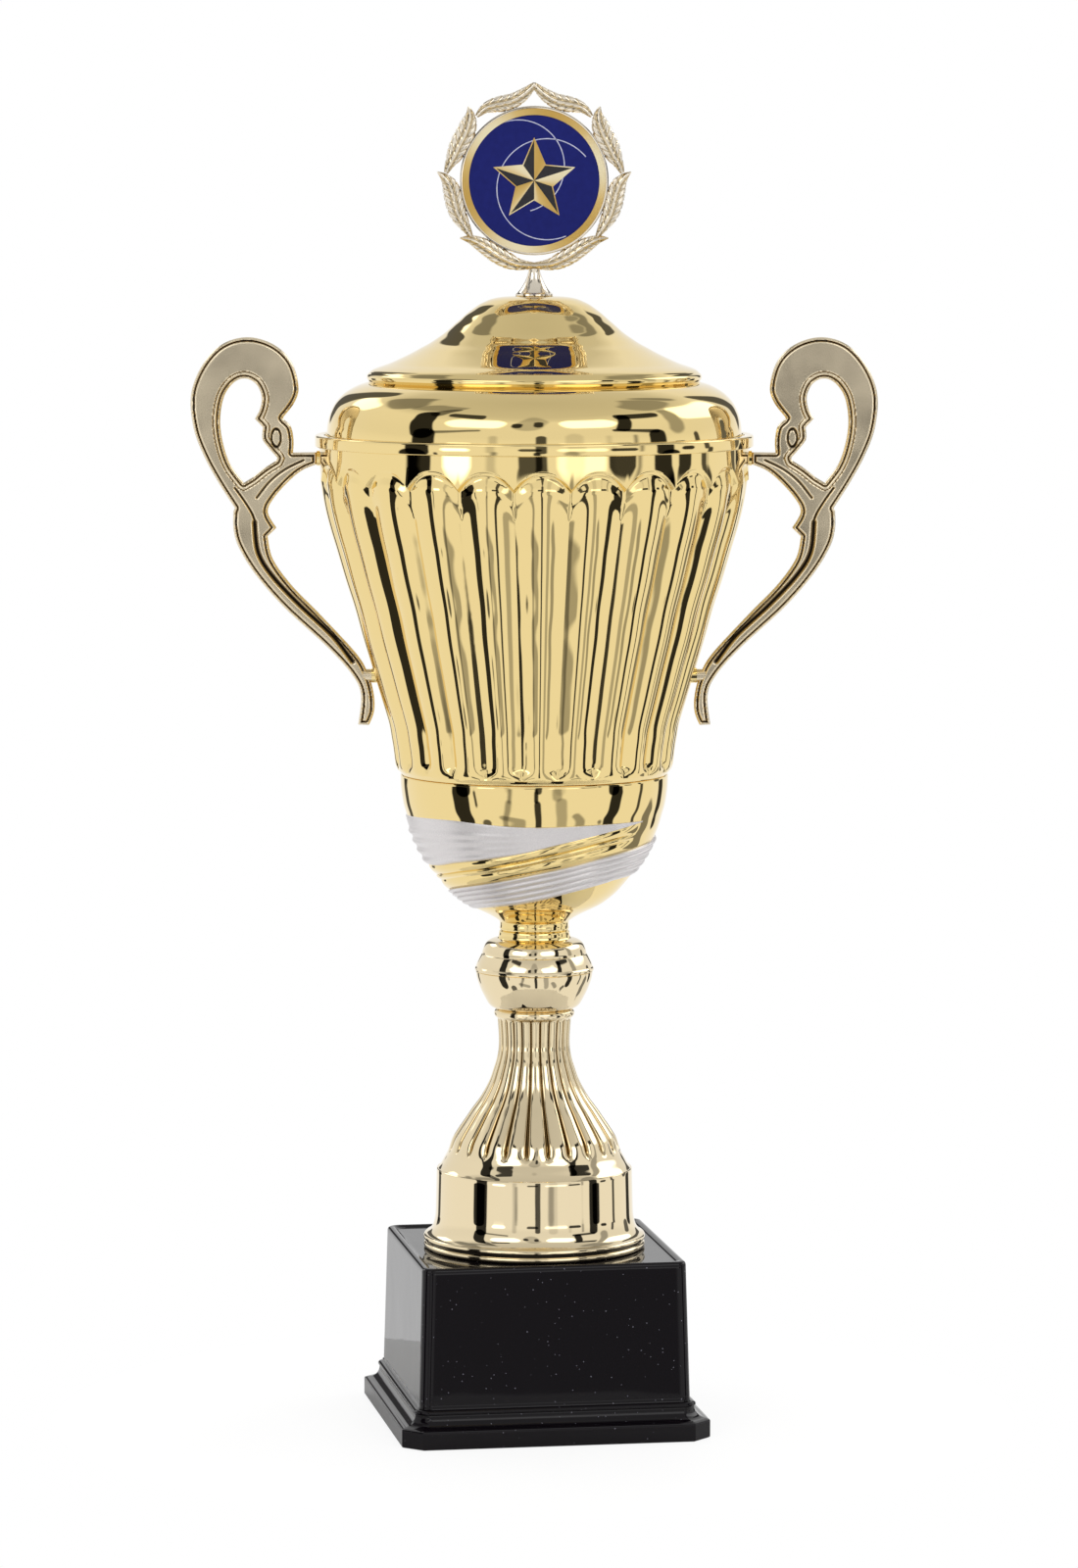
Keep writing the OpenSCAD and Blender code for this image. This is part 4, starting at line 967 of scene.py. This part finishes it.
def facing_front(profile, steps):
    """Turns a closed profile of (radius, y) about the axis that runs back from the emblem's middle."""
    bm = spun(points(*((r, -y) for r, y in profile)), steps)
    bmesh.ops.rotate(bm, cent=(0, 0, 0), matrix=Matrix.Rotation(math.pi / 2, 3, "X"), verts=bm.verts)
    bmesh.ops.translate(bm, vec=(0, 0, EMBLEM_Z), verts=bm.verts)
    return bm


# A spun profile that reaches the axis stops at a pinhole
PINHOLE = 0.01
dish = [
    (24.9, -1.6), (25.05, -1.95), (25.3, -2.0), (25.65, -2.0), (25.85, -1.85), (25.9, -1.5),
    (25.9, 0.9), (25.7, 1.15), (25.4, 1.2), (PINHOLE, 1.2), (PINHOLE, 0.0), (24.9, 0.0)]
bm = facing_front(dish, 160)
finish_piece(bm, "emblem_dish", wreath_abs, [], "lid", crease=35)

STUD_END_Z = 384.4
trumpet = points((2, LID_TOP_Z), (6.4, LID_TOP_Z), (6.6, 396.6), (6.6, 397.0), (6.3, 397.25))
trumpet += curve_through([
    (5.9, 397.5), (4.7, 398.9), (3.6, 400.7), (2.7, 402.7), (2.1, 404.6), (1.9, 406.4)], 6)
trumpet += points((PINHOLE, 406.6), (PINHOLE, STUD_END_Z), (2, STUD_END_Z))
bm = spun(trumpet, 96)
finish_piece(bm, "laurel_foot", wreath_abs, ["wreath_holder"], "lid", crease=35)

# ---------------------------------------------------------------------------
# Emblem: a 50 mm aluminium disc, printed, that is glued in the dish. It has a
# gold border round a navy field, with a faceted star and two thin rings.
# ---------------------------------------------------------------------------
DISC_FRONT = -1.6


def disc_piece(name, outer, inner, front, thickness, material, cad_nodes):
    """Flat ring that faces the front of the emblem."""
    back = front + thickness
    bm = facing_front([(outer, back), (outer, front), (inner, front), (inner, back)], 200)
    return finish_piece(bm, name, material, cad_nodes, "lid", crease=30)


# Printed navy under clear lacquer.
navy_print, tree, shader = new_material("navy_print")
mottle = ramp(tree, noise(tree, object_place(tree), 0.5, 4), [(0.3, "#151c6a"), (0.7, "#182072")])
set_sockets(shader, Base_Color=mottle, Roughness=0.4, Specular_IOR_Level=0.15)

# Printed gold foil: brushed in a circle, so it shades from straw to white and back round the ring.
foil_print, tree, shader = new_material("foil_print")
coords = node(tree, "ShaderNodeTexCoord").outputs["Object"]
shifted = node(tree, "ShaderNodeMapping", {"Vector": coords, "Location": (0, 0, -EMBLEM_Z * MM)})
parts = node(tree, "ShaderNodeSeparateXYZ", {0: shifted.outputs[0]})
around = math_node(tree, "ARCTAN2", parts.outputs["Z"], parts.outputs["X"])
sweep = math_node(tree, "SINE", math_node(tree, "MULTIPLY_ADD", around, 3.0, 0.8))
share = math_node(tree, "MULTIPLY_ADD", sweep, 0.5, 0.5)
foil = ramp(tree, share, [(0.0, "#c9a24a"), (0.5, "#dcbc72"), (1.0, "#f3e6bf")])
set_sockets(shader, Base_Color=foil, Roughness=0.45)

# Printed black: the star's shaded sides.
black_print, tree, shader = new_material("black_print")
ink = ramp(tree, noise(tree, object_place(tree), 0.8, 3), [(0.3, "#0d0c12"), (0.7, "#1a1820")])
set_sockets(shader, Base_Color=ink, Roughness=0.4)

# Printed pale blue for the thin rings.
pale_print, tree, shader = new_material("pale_print")
ink = ramp(tree, noise(tree, object_place(tree), 0.8, 3), [(0.3, "#b4b8dc"), (0.7, "#d9dbee")])
set_sockets(shader, Base_Color=ink, Roughness=0.45)

FIELD_FRONT = -1.3
DISC_THICKNESS, BORDER_THICKNESS = 1.6, 0.12
RING_REACH = 22.6
disc_piece("emblem_field", 22.9, PINHOLE, FIELD_FRONT, DISC_THICKNESS, navy_print, ["emblem_disc"])
disc_piece("emblem_border", 25.0, 22.7, DISC_FRONT, BORDER_THICKNESS, foil_print, [])

bm = bmesh.new()
for centre, radius, start, end in (((4.5, -3.0), 17.5, 40, 292), ((-5.5, 5.0), 16.0, -75, 165)):
    rows = []
    for half in (-0.17, 0.17):
        line = arc(centre, radius + half, start, end, 96)
        rows.append([bm.verts.new((p.x, FIELD_FRONT - 0.06, p.y + EMBLEM_Z)) for p in line])
    edges = [bm.edges.new(pair) for row in rows for pair in zip(row, row[1:])]
    bmesh.ops.bridge_loops(bm, edges=edges)
for vert in bm.verts:
    reach = math.hypot(vert.co.x, vert.co.z - EMBLEM_Z)
    if reach > RING_REACH:
        vert.co.x *= RING_REACH / reach
        vert.co.z = EMBLEM_Z + (vert.co.z - EMBLEM_Z) * RING_REACH / reach
turn_faces(bm, bm.faces[:], lambda f: FRONT)
finish_piece(bm, "emblem_rings", pale_print, [], "lid")

STAR_TIP, STAR_NOTCH = 14.0, 6.4


def star(bm, grow, front, peak):
    """Five-pointed star, ridged along each point; returns its faces, lit and shaded sides in turn."""
    middle = bm.verts.new((0, peak, EMBLEM_Z))
    rim = []
    for i in range(10):
        reach = (STAR_NOTCH if i % 2 else STAR_TIP) + grow * (1.0 if i % 2 else 2.2)
        turn = math.radians(36 * i)
        rim.append(bm.verts.new((reach * math.sin(turn), front, EMBLEM_Z + reach * math.cos(turn))))
    return [bm.faces.new((middle, rim[(i + 1) % 10], rim[i])) for i in range(10)]


bm = bmesh.new()
for i, face in enumerate(star(bm, 0, FIELD_FRONT - 0.12, FIELD_FRONT - 0.3)):
    face.material_index = i % 2
turn_faces(bm, bm.faces[:], lambda f: FRONT)
star_piece = finish_piece(bm, "emblem_star", foil_print, [], "lid", crease=1)
star_piece.data.materials.append(black_print)
bm = bmesh.new()
star(bm, 0.45, FIELD_FRONT - 0.08, FIELD_FRONT - 0.08)
turn_faces(bm, bm.faces[:], lambda f: FRONT)
finish_piece(bm, "emblem_star_outline", foil_print, [], "lid", crease=30)
